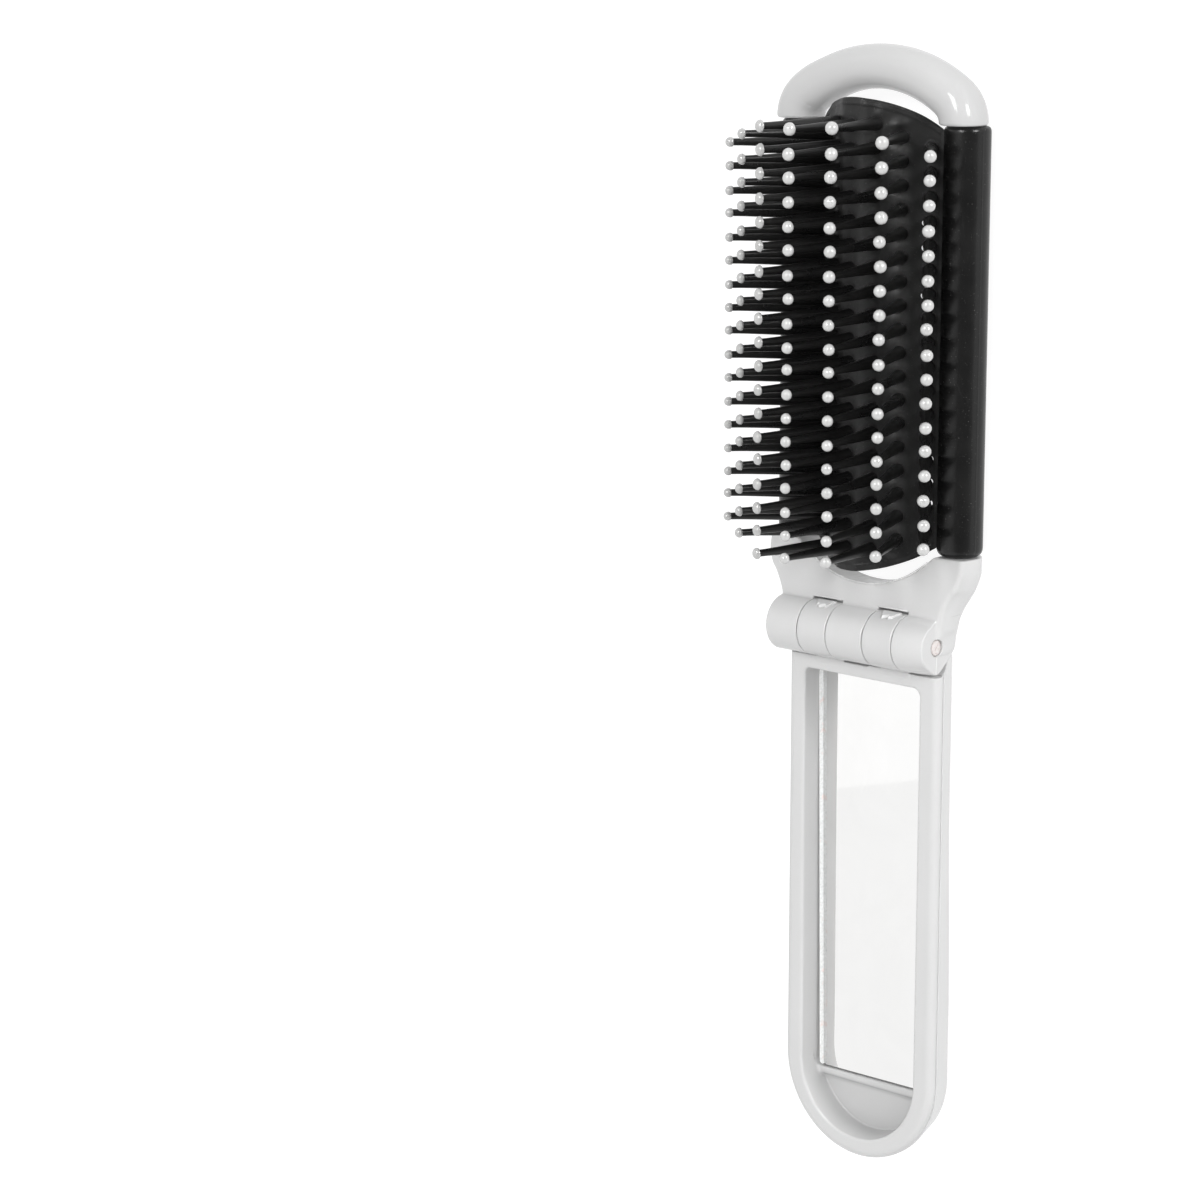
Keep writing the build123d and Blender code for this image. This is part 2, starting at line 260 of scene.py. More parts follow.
def lathe(profile, sides, origin=(0, 0, 0), axis=(0, 0, 1), cap=True, seed=0.0):
    """Turned solid: profile is (radius, height) from bottom to top, closed with a fan where it ends off the axis."""
    axis = Vector(axis).normalized()
    ref = Vector((0, 1, 0)) if abs(axis.y) < 0.9 else Vector((1, 0, 0))
    e1 = axis.cross(ref).normalized()
    e2 = axis.cross(e1)
    o = np.asarray(origin, float)
    a, b, c = np.array(e1), np.array(e2), np.array(axis)
    v, f = [], []
    rings = []
    for r, z in profile:
        if r < 1e-6:
            rings.append([len(v)])
            v.append(o + c * z)
        else:
            rings.append(list(range(len(v), len(v) + sides)))
            for i in range(sides):
                t = seed + 2 * math.pi * i / sides
                v.append(o + a * (r * math.cos(t)) + b * (r * math.sin(t)) + c * z)
    for r0, r1 in zip(rings, rings[1:]):
        for i in range(sides):
            j = (i + 1) % sides
            if len(r0) == 1 and len(r1) == 1:
                continue
            if len(r0) == 1:
                f.append((r0[0], r1[i], r1[j])[::-1])
            elif len(r1) == 1:
                f.append((r0[i], r0[j], r1[0])[::-1])
            else:
                f.append((r0[i], r0[j], r1[j], r1[i])[::-1])
    if cap:
        if len(rings[0]) > 1:
            f.append(tuple(rings[0]))
        if len(rings[-1]) > 1:
            f.append(tuple(rings[-1][::-1]))
    return np.array(v), f


def merge(parts):
    v, f = [], []
    k = 0
    for pv, pf in parts:
        v.append(pv)
        f += [tuple(i + k for i in q) for q in pf]
        k += len(pv)
    return np.vstack(v), f


def bead(a, b, r, n=10):
    """Fine raised line from a to b: points, faces and normals."""
    a, b = np.asarray(a, float), np.asarray(b, float)
    d = (b - a) / np.linalg.norm(b - a)
    e1 = np.cross(d, [0.3, 0.5, 0.8])
    e1 /= np.linalg.norm(e1)
    e2 = np.cross(d, e1)
    v, nrm, f = [], [], []
    for p, k, along in ((a, 0.25, -0.9), (a + d * r, 1.0, -0.3), (b - d * r, 1.0, 0.3), (b, 0.25, 0.9)):
        for i in range(n):
            t = 2 * math.pi * i / n
            o = e1 * math.cos(t) + e2 * math.sin(t)
            v.append(p + o * r * k)
            nn = o + d * along
            nrm.append(nn / np.linalg.norm(nn))
    for j in range(3):
        for i in range(n):
            k = (i + 1) % n
            f.append((j * n + i, j * n + k, (j + 1) * n + k, (j + 1) * n + i))
    f.append(tuple(range(n))[::-1])
    f.append(tuple(range(3 * n, 4 * n)))
    return np.array(v), f, np.array(nrm)


def with_beads(v, faces, nrm, beads):
    faces = [tuple(q) for q in faces]
    for bv, bf, bn in beads:
        k = len(v)
        v = np.vstack([v, bv])
        nrm = np.vstack([nrm, bn])
        faces += [tuple(i + k for i in q) for q in bf]
    return v, faces, nrm


def wider_left(v):
    """The frame's left side stands 0.6 mm further out."""
    v = np.array(v, float)
    t = np.clip((-v[:, 0] - 11.5) / 4.5, 0.0, 1.0)
    v[:, 0] -= 0.6 * t * t * (3 - 2 * t)
    return v


def chamfer(a, b, c):
    """Both limits with a flat between them, c below the corner."""
    return np.maximum(np.maximum(a, b), (a + b) * 0.7071 + c)


def sharp_by_angle(ob, degrees):
    """Marks hard edges, so that only real creases shade hard."""
    bm = bmesh.new()
    bm.from_mesh(ob.data)
    lim = math.radians(degrees)
    for e in bm.edges:
        e.smooth = len(e.link_faces) == 2 and e.calc_face_angle(0) < lim
    bm.to_mesh(ob.data)
    bm.free()


def outward(ob):
    bm = bmesh.new()
    bm.from_mesh(ob.data)
    bmesh.ops.recalc_face_normals(bm, faces=bm.faces[:])
    bm.to_mesh(ob.data)
    bm.free()


# ----------------------------------------------------------------- materials
def new_material(name):
    m = bpy.data.materials.new(name)
    m.use_nodes = True
    nt = m.node_tree
    nt.nodes.clear()
    out = nt.nodes.new("ShaderNodeOutputMaterial")
    b = nt.nodes.new("ShaderNodeBsdfPrincipled")
    nt.links.new(b.outputs[0], out.inputs[0])
    tc = nt.nodes.new("ShaderNodeTexCoord")
    return m, nt, b, tc.outputs["Object"]


def noise(nt, vec, scale, detail=3.0, rough=0.55, distortion=0.0):
    n = nt.nodes.new("ShaderNodeTexNoise")
    n.inputs["Scale"].default_value = scale
    n.inputs["Detail"].default_value = detail
    n.inputs["Roughness"].default_value = rough
    n.inputs["Distortion"].default_value = distortion
    nt.links.new(vec, n.inputs["Vector"])
    return n.outputs["Fac"]


def stretch(nt, vec, scale):
    m = nt.nodes.new("ShaderNodeMapping")
    m.inputs["Scale"].default_value = scale
    nt.links.new(vec, m.inputs["Vector"])
    return m.outputs[0]


def ramp(nt, fac, stops):
    r = nt.nodes.new("ShaderNodeValToRGB")
    el = r.color_ramp.elements
    while len(el) < len(stops):
        el.new(0.5)
    for e, (p, c) in zip(el, stops):
        e.position = p
        e.color = (c[0], c[1], c[2], 1) if isinstance(c, (tuple, list)) else (c, c, c, 1)
    nt.links.new(fac, r.inputs["Fac"])
    return r.outputs["Color"]


def mix(nt, fac, a, b, blend="MIX"):
    m = nt.nodes.new("ShaderNodeMix")
    m.data_type = "RGBA"
    m.blend_type = blend
    if isinstance(fac, float):
        m.inputs[0].default_value = fac
    else:
        nt.links.new(fac, m.inputs[0])
    for s, val in ((m.inputs[6], a), (m.inputs[7], b)):
        if isinstance(val, tuple):
            s.default_value = (*val, 1)
        else:
            nt.links.new(val, s)
    return m.outputs[2]


def remap(nt, fac, lo, hi, a, b):
    m = nt.nodes.new("ShaderNodeMapRange")
    m.inputs["From Min"].default_value = lo
    m.inputs["From Max"].default_value = hi
    m.inputs["To Min"].default_value = a
    m.inputs["To Max"].default_value = b
    nt.links.new(fac, m.inputs["Value"])
    return m.outputs[0]


def math2(nt, op, a, b):
    m = nt.nodes.new("ShaderNodeMath")
    m.operation = op
    for i, v in enumerate((a, b)):
        if isinstance(v, (int, float)):
            m.inputs[i].default_value = v
        else:
            nt.links.new(v, m.inputs[i])
    return m.outputs[0]


def bump(nt, height, strength, distance, normal=None):
    b = nt.nodes.new("ShaderNodeBump")
    b.inputs["Strength"].default_value = strength
    b.inputs["Distance"].default_value = distance
    nt.links.new(height, b.inputs["Height"])
    if normal is not None:
        nt.links.new(normal, b.inputs["Normal"])
    return b.outputs[0]


def axes(nt, vec):
    x = nt.nodes.new("ShaderNodeSeparateXYZ")
    nt.links.new(vec, x.inputs[0])
    return x.outputs


def moulded_plastic(name, tone, gloss, tint=(1.0, 1.0, 1.0), grain=1.0, painted_pocket_shade=False, painted_glow=0.0):
    """Pale moulded plastic: faint cloudiness, fine grain, wear and a few fine scuffs in the gloss."""
    m, nt, b, vec = new_material(name)
    cloud = noise(nt, vec, 55.0, 2.0)
    speck = noise(nt, vec, 2600.0, 2.0, 0.7)
    base = tuple(tone * t for t in tint)
    c1 = ramp(nt, cloud, [(0.3, tuple(c * 0.985 for c in base)), (0.7, tuple(min(1, c * 1.015) for c in base))])
    dust = ramp(nt, speck, [(0.0, (0.95, 0.95, 0.945)), (0.33, (0.985, 0.985, 0.98)), (0.42, (1, 1, 1))])
    c1 = mix(nt, 1.0, c1, dust, "MULTIPLY")
    if painted_pocket_shade:
        # painted shade: the pocket below the mirror darkens towards its floor and its curved wall
        o = axes(nt, vec)
        low = remap(nt, math2(nt, "ADD", o["Z"], math2(nt, "MULTIPLY", cloud, 0.0008)), 0.0052, 0.0088, 1.0, 0.0)
        far = remap(nt, o["Y"], -0.0905, -0.0865, 1.0, 0.0)
        reach = nt.nodes.new("ShaderNodeVectorMath")
        reach.operation = "DISTANCE"
        nt.links.new(stretch(nt, vec, (1.0, 1.0, 0.0)), reach.inputs[0])
        reach.inputs[1].default_value = (-0.0002, -0.08523, 0.0)
        wall = remap(nt, reach.outputs["Value"], 0.0122, 0.0130, 0.45, 0.85)
        c1 = mix(nt, math2(nt, "MULTIPLY", math2(nt, "MULTIPLY", low, far), wall), c1, tuple(c * 0.80 for c in base))
    nt.links.new(c1, b.inputs["Base Color"])
    if painted_glow:
        # painted light: the moulding glows a little, softening its shading as light carried through the plastic would
        nt.links.new(c1, b.inputs["Emission Color"])
        b.inputs["Emission Strength"].default_value = painted_glow
    scuff = noise(nt, stretch(nt, vec, (1.0, 0.18, 1.0)), 900.0, 4.0, 0.65, 0.4)
    handled = noise(nt, vec, 90.0, 3.0)
    r = math2(nt, "ADD", remap(nt, scuff, 0.3, 0.75, gloss - 0.006, gloss + 0.012), remap(nt, handled, 0.3, 0.7, -0.01, 0.01))
    nt.links.new(r, b.inputs["Roughness"])
    grainy = noise(nt, vec, 5200.0, 2.0)
    waves = noise(nt, vec, 120.0, 1.0)
    n1 = bump(nt, waves, 0.012 * grain, 0.0006)
    nt.links.new(bump(nt, grainy, 0.04 * grain, 0.00003, n1), b.inputs["Normal"])
    b.inputs["IOR"].default_value = 1.5
    b.inputs["Specular IOR Level"].default_value = 0.45
    b.inputs["Coat Weight"].default_value = 0.0
    return m


def black_rubber(name, tone, gloss, smear=1.0, level=0.22, dust=1.0, painted_sheen=0.0):
    """Black soft rubber: satin, with dust specks, paler smears and moulding waves."""
    m, nt, b, vec = new_material(name)
    cloud = noise(nt, vec, 140.0, 4.0, 0.6)
    base = ramp(nt, cloud, [(0.25, (tone * 0.75, tone * 0.75, tone * 0.76)), (0.75, (tone * 1.5, tone * 1.48, tone * 1.45))])
    long_noise = noise(nt, stretch(nt, vec, (1.0, 0.22, 1.0)), 260.0, 5.0, 0.7, 0.8)
    smears = ramp(nt, long_noise, [(0.60, 0.0), (0.72, 0.35 * smear), (0.82, 0.8 * smear)])
    base = mix(nt, smears, base, (0.03, 0.03, 0.03))
    specks = noise(nt, vec, 3100.0, 1.0, 0.5)
    fleck = ramp(nt, specks, [(0.70, 0.0), (0.78, 0.55 * dust)])
    base = mix(nt, fleck, base, (0.09, 0.088, 0.085))
    if painted_sheen:
        # painted highlight: paler, streaky sheen on the ridges between the outer pins, where the softboxes catch them
        o = axes(nt, vec)
        across = math2(nt, "ABSOLUTE", math2(nt, "SUBTRACT", math2(nt, "ABSOLUTE", o["X"], 0.0), 0.0077), 0.0)
        along = math2(nt, "PINGPONG", math2(nt, "SUBTRACT", o["Y"], 0.05097), 0.002084)
        spot = math2(nt, "MULTIPLY", remap(nt, across, 0.0002, 0.0019, 1.0, 0.0), remap(nt, along, 0.0003, 0.0017, 1.0, 0.0))
        streak = noise(nt, stretch(nt, vec, (1.0, 0.4, 1.0)), 1500.0, 3.0, 0.6, 0.6)
        spot = math2(nt, "MULTIPLY", spot, math2(nt, "MULTIPLY", remap(nt, o["Y"], 0.0840, 0.0856, 1.0, 0.0), remap(nt, o["Y"], 0.0150, 0.0166, 0.0, 1.0)))
        base = mix(nt, math2(nt, "MULTIPLY", spot, remap(nt, streak, 0.3, 0.7, 0.55 * painted_sheen, painted_sheen)), base, (0.062, 0.062, 0.061))
    nt.links.new(base, b.inputs["Base Color"])
    r = remap(nt, cloud, 0.25, 0.75, gloss - 0.07, gloss + 0.08)
    nt.links.new(r, b.inputs["Roughness"])
    fine = noise(nt, vec, 2400.0, 3.0, 0.6)
    wave = noise(nt, stretch(nt, vec, (1.0, 0.5, 1.0)), 170.0, 2.0)
    n1 = bump(nt, wave, 0.22, 0.0006)
    nt.links.new(bump(nt, fine, 0.12, 0.00008, n1), b.inputs["Normal"])
    b.inputs["IOR"].default_value = 1.5
    b.inputs["Specular IOR Level"].default_value = level
    return m


def tip_material(name, tone):
    m, nt, b, vec = new_material(name)
    mottle = noise(nt, vec, 900.0, 3.0, 0.6)
    base = ramp(nt, mottle, [(0.3, (tone, tone, tone * 0.99)), (0.7, (tone * 1.16, tone * 1.16, tone * 1.15))])
    worn = noise(nt, vec, 3600.0, 2.0, 0.6)
    base = mix(nt, ramp(nt, worn, [(0.62, 0.0), (0.72, 0.25)]), base, (tone * 0.78, tone * 0.77, tone * 0.75))
    nt.links.new(base, b.inputs["Base Color"])
    nt.links.new(remap(nt, worn, 0.3, 0.7, 0.015, 0.03), b.inputs["Roughness"])
    nt.links.new(bump(nt, worn, 0.02, 0.00002), b.inputs["Normal"])
    b.inputs["IOR"].default_value = 1.53
    b.inputs["Specular IOR Level"].default_value = 0.85
    b.inputs["Coat Weight"].default_value = 1.0
    b.inputs["Coat Roughness"].default_value = 0.015
    b.inputs["Coat IOR"].default_value = 1.6
    return m


def mirror_material():
    m, nt, b, vec = new_material("mirror_silvered_glass")
    smudge = noise(nt, vec, 70.0, 4.0, 0.6, 0.6)
    base = ramp(nt, smudge, [(0.3, (0.955, 0.953, 0.948)), (0.7, (0.985, 0.983, 0.978))])
    nt.links.new(base, b.inputs["Base Color"])
    b.inputs["Metallic"].default_value = 1.0
    fine = noise(nt, stretch(nt, vec, (1.0, 0.35, 1.0)), 700.0, 4.0, 0.7, 0.5)
    nt.links.new(remap(nt, fine, 0.35, 0.8, 0.012, 0.05), b.inputs["Roughness"])
    return m


def glass_edge_material(name, tone, glow):
    """Ground, cut edge of the glass: frosted, pale, with small chips; glow adds painted light, a low tone painted
    shade.
    """
    m, nt, b, vec = new_material(name)
    chips = noise(nt, vec, 2300.0, 4.0, 0.7)
    base = ramp(nt, chips, [(0.34, (0.66 * tone, 0.67 * tone, 0.665 * tone)), (0.5, (0.78 * tone, 0.79 * tone, 0.785 * tone)), (0.72, (0.88 * tone, 0.88 * tone, 0.88 * tone))])
    blush = noise(nt, vec, 480.0, 2.0)
    base = mix(nt, ramp(nt, blush, [(0.60, 0.0), (0.70, 0.35)]), base, (0.80 * tone, 0.55 * tone, 0.50 * tone))
    nt.links.new(base, b.inputs["Base Color"])
    # painted light: the ground edge glows, as if lit through the glass
    nt.links.new(base, b.inputs["Emission Color"])
    b.inputs["Emission Strength"].default_value = glow
    nt.links.new(remap(nt, chips, 0.3, 0.7, 0.25, 0.5), b.inputs["Roughness"])
    nt.links.new(bump(nt, chips, 0.3, 0.0001), b.inputs["Normal"])
    return m


def steel_material():
    m, nt, b, vec = new_material("pin_steel")
    brushed = noise(nt, vec, 1500.0, 4.0, 0.6)
    base = ramp(nt, brushed, [(0.3, (0.66, 0.59, 0.57)), (0.5, (0.82, 0.76, 0.74)), (0.7, (0.88, 0.86, 0.85))])
    nt.links.new(base, b.inputs["Base Color"])
    b.inputs["Metallic"].default_value = 0.75
    nt.links.new(remap(nt, brushed, 0.3, 0.7, 0.22, 0.42), b.inputs["Roughness"])
    nt.links.new(bump(nt, brushed, 0.2, 0.00005), b.inputs["Normal"])
    return m


def adhesive_material():
    m, nt, b, vec = new_material("adhesive_sheet")
    fibres = noise(nt, stretch(nt, vec, (1.0, 0.3, 1.0)), 1800.0, 4.0, 0.7)
    base = ramp(nt, fibres, [(0.3, (0.55, 0.52, 0.45)), (0.7, (0.68, 0.65, 0.57))])
    nt.links.new(base, b.inputs["Base Color"])
    nt.links.new(remap(nt, fibres, 0.3, 0.7, 0.55, 0.75), b.inputs["Roughness"])
    nt.links.new(bump(nt, fibres, 0.2, 0.0001), b.inputs["Normal"])
    return m


# head and arch are one plastic; painted_glow paints light into their shading, strongest on the darker-toned arch
MAT_HEAD = moulded_plastic("head_plastic", 0.545, 0.13, painted_glow=0.03)
# the flash beads' plastic is painted paler than the head: a painted highlight along the bead edges
MAT_FLASH_PAINTED_HIGHLIGHT = moulded_plastic("head_moulding_flash_painted_highlight", 0.66, 0.16)
MAT_ARCH = moulded_plastic("arch_plastic", 0.40, 0.13, painted_glow=0.32)
MAT_HANDLE = moulded_plastic("handle_plastic", 0.55, 0.24, painted_pocket_shade=True)
MAT_COVER = moulded_plastic("cover_plastic", 0.58, 0.16, grain=0.8)
MAT_TUBE = black_rubber("black_rubber", 0.0055, 0.22, smear=1.0, level=0.40)
MAT_WEB = black_rubber("black_web", 0.0066, 0.42, smear=0.5, level=0.44, painted_sheen=1.0)
MAT_PIN = black_rubber("black_pins", 0.008, 0.30, smear=0.3, level=0.40, dust=0.4)
MAT_SKIRT = black_rubber("black_skirt", 0.018, 0.45, smear=1.0, level=0.40, dust=1.8)
MAT_TIP = tip_material("ball_tip_nylon", 0.445)
# the side rows' tips: the same nylon, darker as painted shade
MAT_TIP_PAINTED_SHADE = tip_material("ball_tip_nylon_painted_shade", 0.37)
MAT_MIRROR = mirror_material()
# the ground edge of the glass, glowing with painted light
MAT_GLASS_EDGE_PAINTED_GLOW = glass_edge_material("glass_ground_edge_painted_glow", 1.0, 0.16)
# the lower edge of the glass in painted shade
MAT_GLASS_PAINTED_SHADE = glass_edge_material("glass_lower_edge_painted_shade", 0.16, 0.0)
# grey border on the silver: painted reflection of the recess wall
MAT_GLASS_PAINTED_REFLECTION = glass_edge_material("glass_border_painted_reflection", 0.56, 0.0)
MAT_STEEL = steel_material()
MAT_ADHESIVE = adhesive_material()

# ---------------------------------------------------------------------- yoke
R_BARREL, HALF = 5.16, 17.6
right_side = spline([(17.5, -1.5), (17.5, 0.0), (17.6, 1.3), (18.05, 4.2), (18.75, 6.9), (19.9, 9.15), (21.0, 10.6), (21.8, 12.9), (21.95, 14.2), (21.9, 16.6)], 5)
yoke_outline = np.vstack([right_side, right_side[::-1] * [-1, 1]])
yk = [(-HALF, -11.05), (-4.05, 4.05), (11.05, HALF)]
hk = [(-10.75, -4.35), (4.35, 10.75)]


def plate_top(y):
    return np.interp(y, [-2, 7.6, 9.4, 12.5, 16.5], [0.2, 0.2, 0.08, -0.3, -1.15])


ARM = spline([(2.0, 15.6, -3.0, 2.0), (4.4, 15.9, -3.3, 2.3), (6.3, 16.3, -3.75, 2.7), (8.1, 16.85, -4.25, 3.15), (9.9, 17.35, -4.65, 3.57), (12.2, 17.85, -5.0, 3.92), (13.6, 18.0, -5.1, 4.0), (17.0, 18.0, -5.1, 4.0)], 8)


def yoke_f(x, y, z):
    ax = np.abs(x)
    d2 = poly_sdf(x, y, yoke_outline)
    plate = smax(d2 + 0.0 * z, z - plate_top(y), 1.1)
    plate = smax(plate, smax(-5.6 - z, -1.6 - y, 3.0), 0.9)
    arm = np.hypot(ax - np.interp(y, ARM[:, 0], ARM[:, 1]), z - np.interp(y, ARM[:, 0], ARM[:, 2])) - np.interp(y, ARM[:, 0], ARM[:, 3])
    arm = smax(arm, 3.0 - y, 1.0)
    arm = smax(arm, ax - 17.55 - 0.16 * np.maximum(y, 0.0) - 3.0 * np.maximum(y - 5.5, 0.0), 0.4)
    body = smin(plate, arm, 1.6)
    body = smax(body, y - 15.97, 0.3)
    body = chamfer(body, 21.5 - np.hypot(x, y - 31.0) + 0.0 * z, 0.17)
    end = ax - np.where(x < 0, 17.75, 17.25) + 0.0 * z
    zs = np.where(z < 0, z * (1 - 0.08 * np.interp(x, [12.0, 14.0], [0.0, 1.0])), z)
    roll = smax(np.hypot(y, zs) - R_BARREL, -y * 0.96 + z * 0.26 - R_BARREL + 0.09, 0.02)
    roll = smax(roll, -0.754 * y - 0.657 * z - 4.38, 0.2)
    # the right end is bevelled at the front, up to a crisp edge
    bevel = (np.hypot(y, z) - 4.25) * 0.97 + (x - 17.25) * 0.24 - 1.0 * np.interp(z, [0.0, 1.8], [1.0, 0.0])
    roll = smax(roll, bevel, 1.0)
    roll = smax(roll, end, np.where(x < 0, 0.6, 0.26))
    body = smin(body, roll, 0.5)
    # clearance over knuckles 2 and 4: square at the front, round behind them
    round_them = np.minimum(np.where(z > 0, y, np.hypot(y, z)) - 5.6, y - 3.4)
    slot = np.maximum(np.abs(ax - 7.55) - 3.42, round_them)
    body = smax(body, -slot, 0.2)
    bore = smax(np.hypot(y, z) - 1.53, 15.6 - ax, 0.1)
    return smax(body, -bore, 0.08)


v, q, nrm = solid(yoke_f, (-22.6, -5.8, -9.8), (22.6, 16.6, 5.8), 0.19 * FINE, 0.34)
# raised moulding flash beads on the end face, above the slots and along the U edge, in the paler painted-highlight
# plastic
flash = [bead((17.25, 4.8, 0.0), (17.25, 1.62, 0.0), 0.10), bead((17.25, -1.62, 0.0), (17.25, -4.95, 0.0), 0.10)]
flash += [bead((s * 4.3, 5.76, 0.17), (s * 10.8, 5.76, 0.17), 0.15) for s in (-1, 1)]
rim = [(21.5 * math.cos(t), 31.0 + 21.5 * math.sin(t)) for t in np.radians(np.linspace(-131, -49, 23))]
rim = [np.array((x, y, plate_top(y) - 0.1)) for x, y in rim]
flash += [bead(a - 0.15 * (b - a), b + 0.15 * (b - a), 0.15, 8) for a, b in zip(rim, rim[1:])]
n_smooth = len(q)
v, q, nrm = with_beads(v, q, nrm, flash)
yoke = make_object("yoke_moulding", wider_left(v), q, nrm, [MAT_HEAD, MAT_FLASH_PAINTED_HIGHLIGHT], [0] * n_smooth + [1] * (len(q) - n_smooth))
finish_piece(yoke, "head", "head_plastic", "yoke")

# ---------------------------------------------------------------- arch frame
LEG_X, LEG_TOP, CORNER_R, BIG_R, BIG_Y, TUBE_TOP = 18.0, 91.75, 5.2, 27.55, 73.5, 91.4
ARCH_Z = -3.9


def arch_path():
    k = math.asin((LEG_X - CORNER_R) / (BIG_R - CORNER_R))
    pts = []
    for t in np.linspace(0, 1, 9)[:-1]:
        pts.append((LEG_X, TUBE_TOP + 0.06 + (LEG_TOP - TUBE_TOP - 0.06) * t))
    for t in np.linspace(0, math.pi / 2 - k, 26)[:-1]:
        pts.append((LEG_X - CORNER_R + CORNER_R * math.cos(t), LEG_TOP + CORNER_R * math.sin(t)))
    for t in np.linspace(math.pi / 2 - k, math.pi / 2, 46):
        pts.append((BIG_R * math.cos(t), BIG_Y + BIG_R * math.sin(t)))
    pts += [(-x, y) for x, y in pts[-2::-1]]
    return np.array(pts)


path = arch_path()
tangent = np.gradient(path, axis=0)
tangent /= np.linalg.norm(tangent, axis=1)[:, None]
side = np.stack([tangent[:, 1], -tangent[:, 0]], 1)      # outwards, in the plane
length = np.concatenate([[0], np.cumsum(np.linalg.norm(np.diff(path, axis=0), axis=1))])
total = length[-1]
SIDES = 72
av, af = [], []
for i, (p, s) in enumerate(zip(path, side)):
    e = min(length[i], total - length[i])
    inset = 0.55 * (1 - math.sqrt(max(0.0, 1 - max(0.0, 1 - e / 0.55) ** 2)))
    for j in range(SIDES):
        t = 2 * math.pi * j / SIDES
        rx, rz = 3.93 - inset, 4.3 - inset
        ct, st = math.cos(t), math.sin(t)
        ct, st = math.copysign(abs(ct) ** 0.85, ct), math.copysign(abs(st) ** 0.85, st)
        av.append((p[0] + s[0] * rx * ct, p[1] + s[1] * rx * ct, ARCH_Z + rz * st))
n_ring = len(path)
for i in range(n_ring - 1):
    for j in range(SIDES):
        k = (j + 1) % SIDES
        af.append((i * SIDES + j, (i + 1) * SIDES + j, (i + 1) * SIDES + k, i * SIDES + k))
af.append(tuple(range(SIDES)))
af.append(tuple(range((n_ring - 1) * SIDES, n_ring * SIDES))[::-1])
rods = [lathe([(1.9, 9.3), (2.2, 9.6), (2.2, 92.3), (2.2, 92.48)], 32, (s * 18.0, 0, -5.1), (0, 1, 0)) for s in (-1, 1)]
v, f = merge([(np.array(av), af)] + rods)
arch = make_object("arch_moulding", wider_left(v), f, None, [MAT_ARCH])
outward(arch)
sharp_by_angle(arch, 40)
finish_piece(arch, "head", "head_plastic", "arch_frame")

# --------------------------------------------------------------- black tubes
TX, TZ, TR = 18.0, -5.1, 4.1


def tube_f(s):
    def f(x, y, z):
        r = np.hypot(x - s * TX, z - TZ)
        body = smax(r - TR, y - TUBE_TOP, 1.1)
        body = smax(body, 15.99 - y, 1.7)
        # parting line along the tube
        body = body - 0.035 * np.exp(-((z - TZ - 0.9) / 0.12) ** 2) * (np.abs(x) > TX)
        lip = np.maximum(np.abs(z + 4.25 + 0.15 * (s * x - 14.2)) - 0.42, np.maximum(13.72 - s * x, s * x - 15.2))
        lip = smax(lip, np.maximum(18.2 - y, y - 89.6), 0.4)
        body = smin(body, lip, 0.5)
        return smax(body, 2.22 - r, 0.2)
    return f


for s, name in ((-1, "sleeve_left"), (1, "sleeve_right")):
    v, q, nrm = surface(tube_f(s), (s * TX - 5.0, 15.4, -9.8), (s * TX + 5.0, 92.1, -0.4), 0.36 * FINE)
    tube = make_object(name + "_tube", wider_left(v), q, nrm, [MAT_TUBE])
    finish_piece(tube, "head", "black_rubber", name)

# ----------------------------------------------------------------- handle
TAN = math.tan(math.radians(26.3))
COS = math.cos(math.radians(26.3))


def handle_2d(x, y, w, tail_y=-81.9):
    """Straight sides and a round tail, open at the top."""
    return np.hypot(x, np.minimum(y - tail_y, 0.0)) - w


def knuckle_range(x):
    return np.abs(np.abs(x) - 7.55) - 3.2


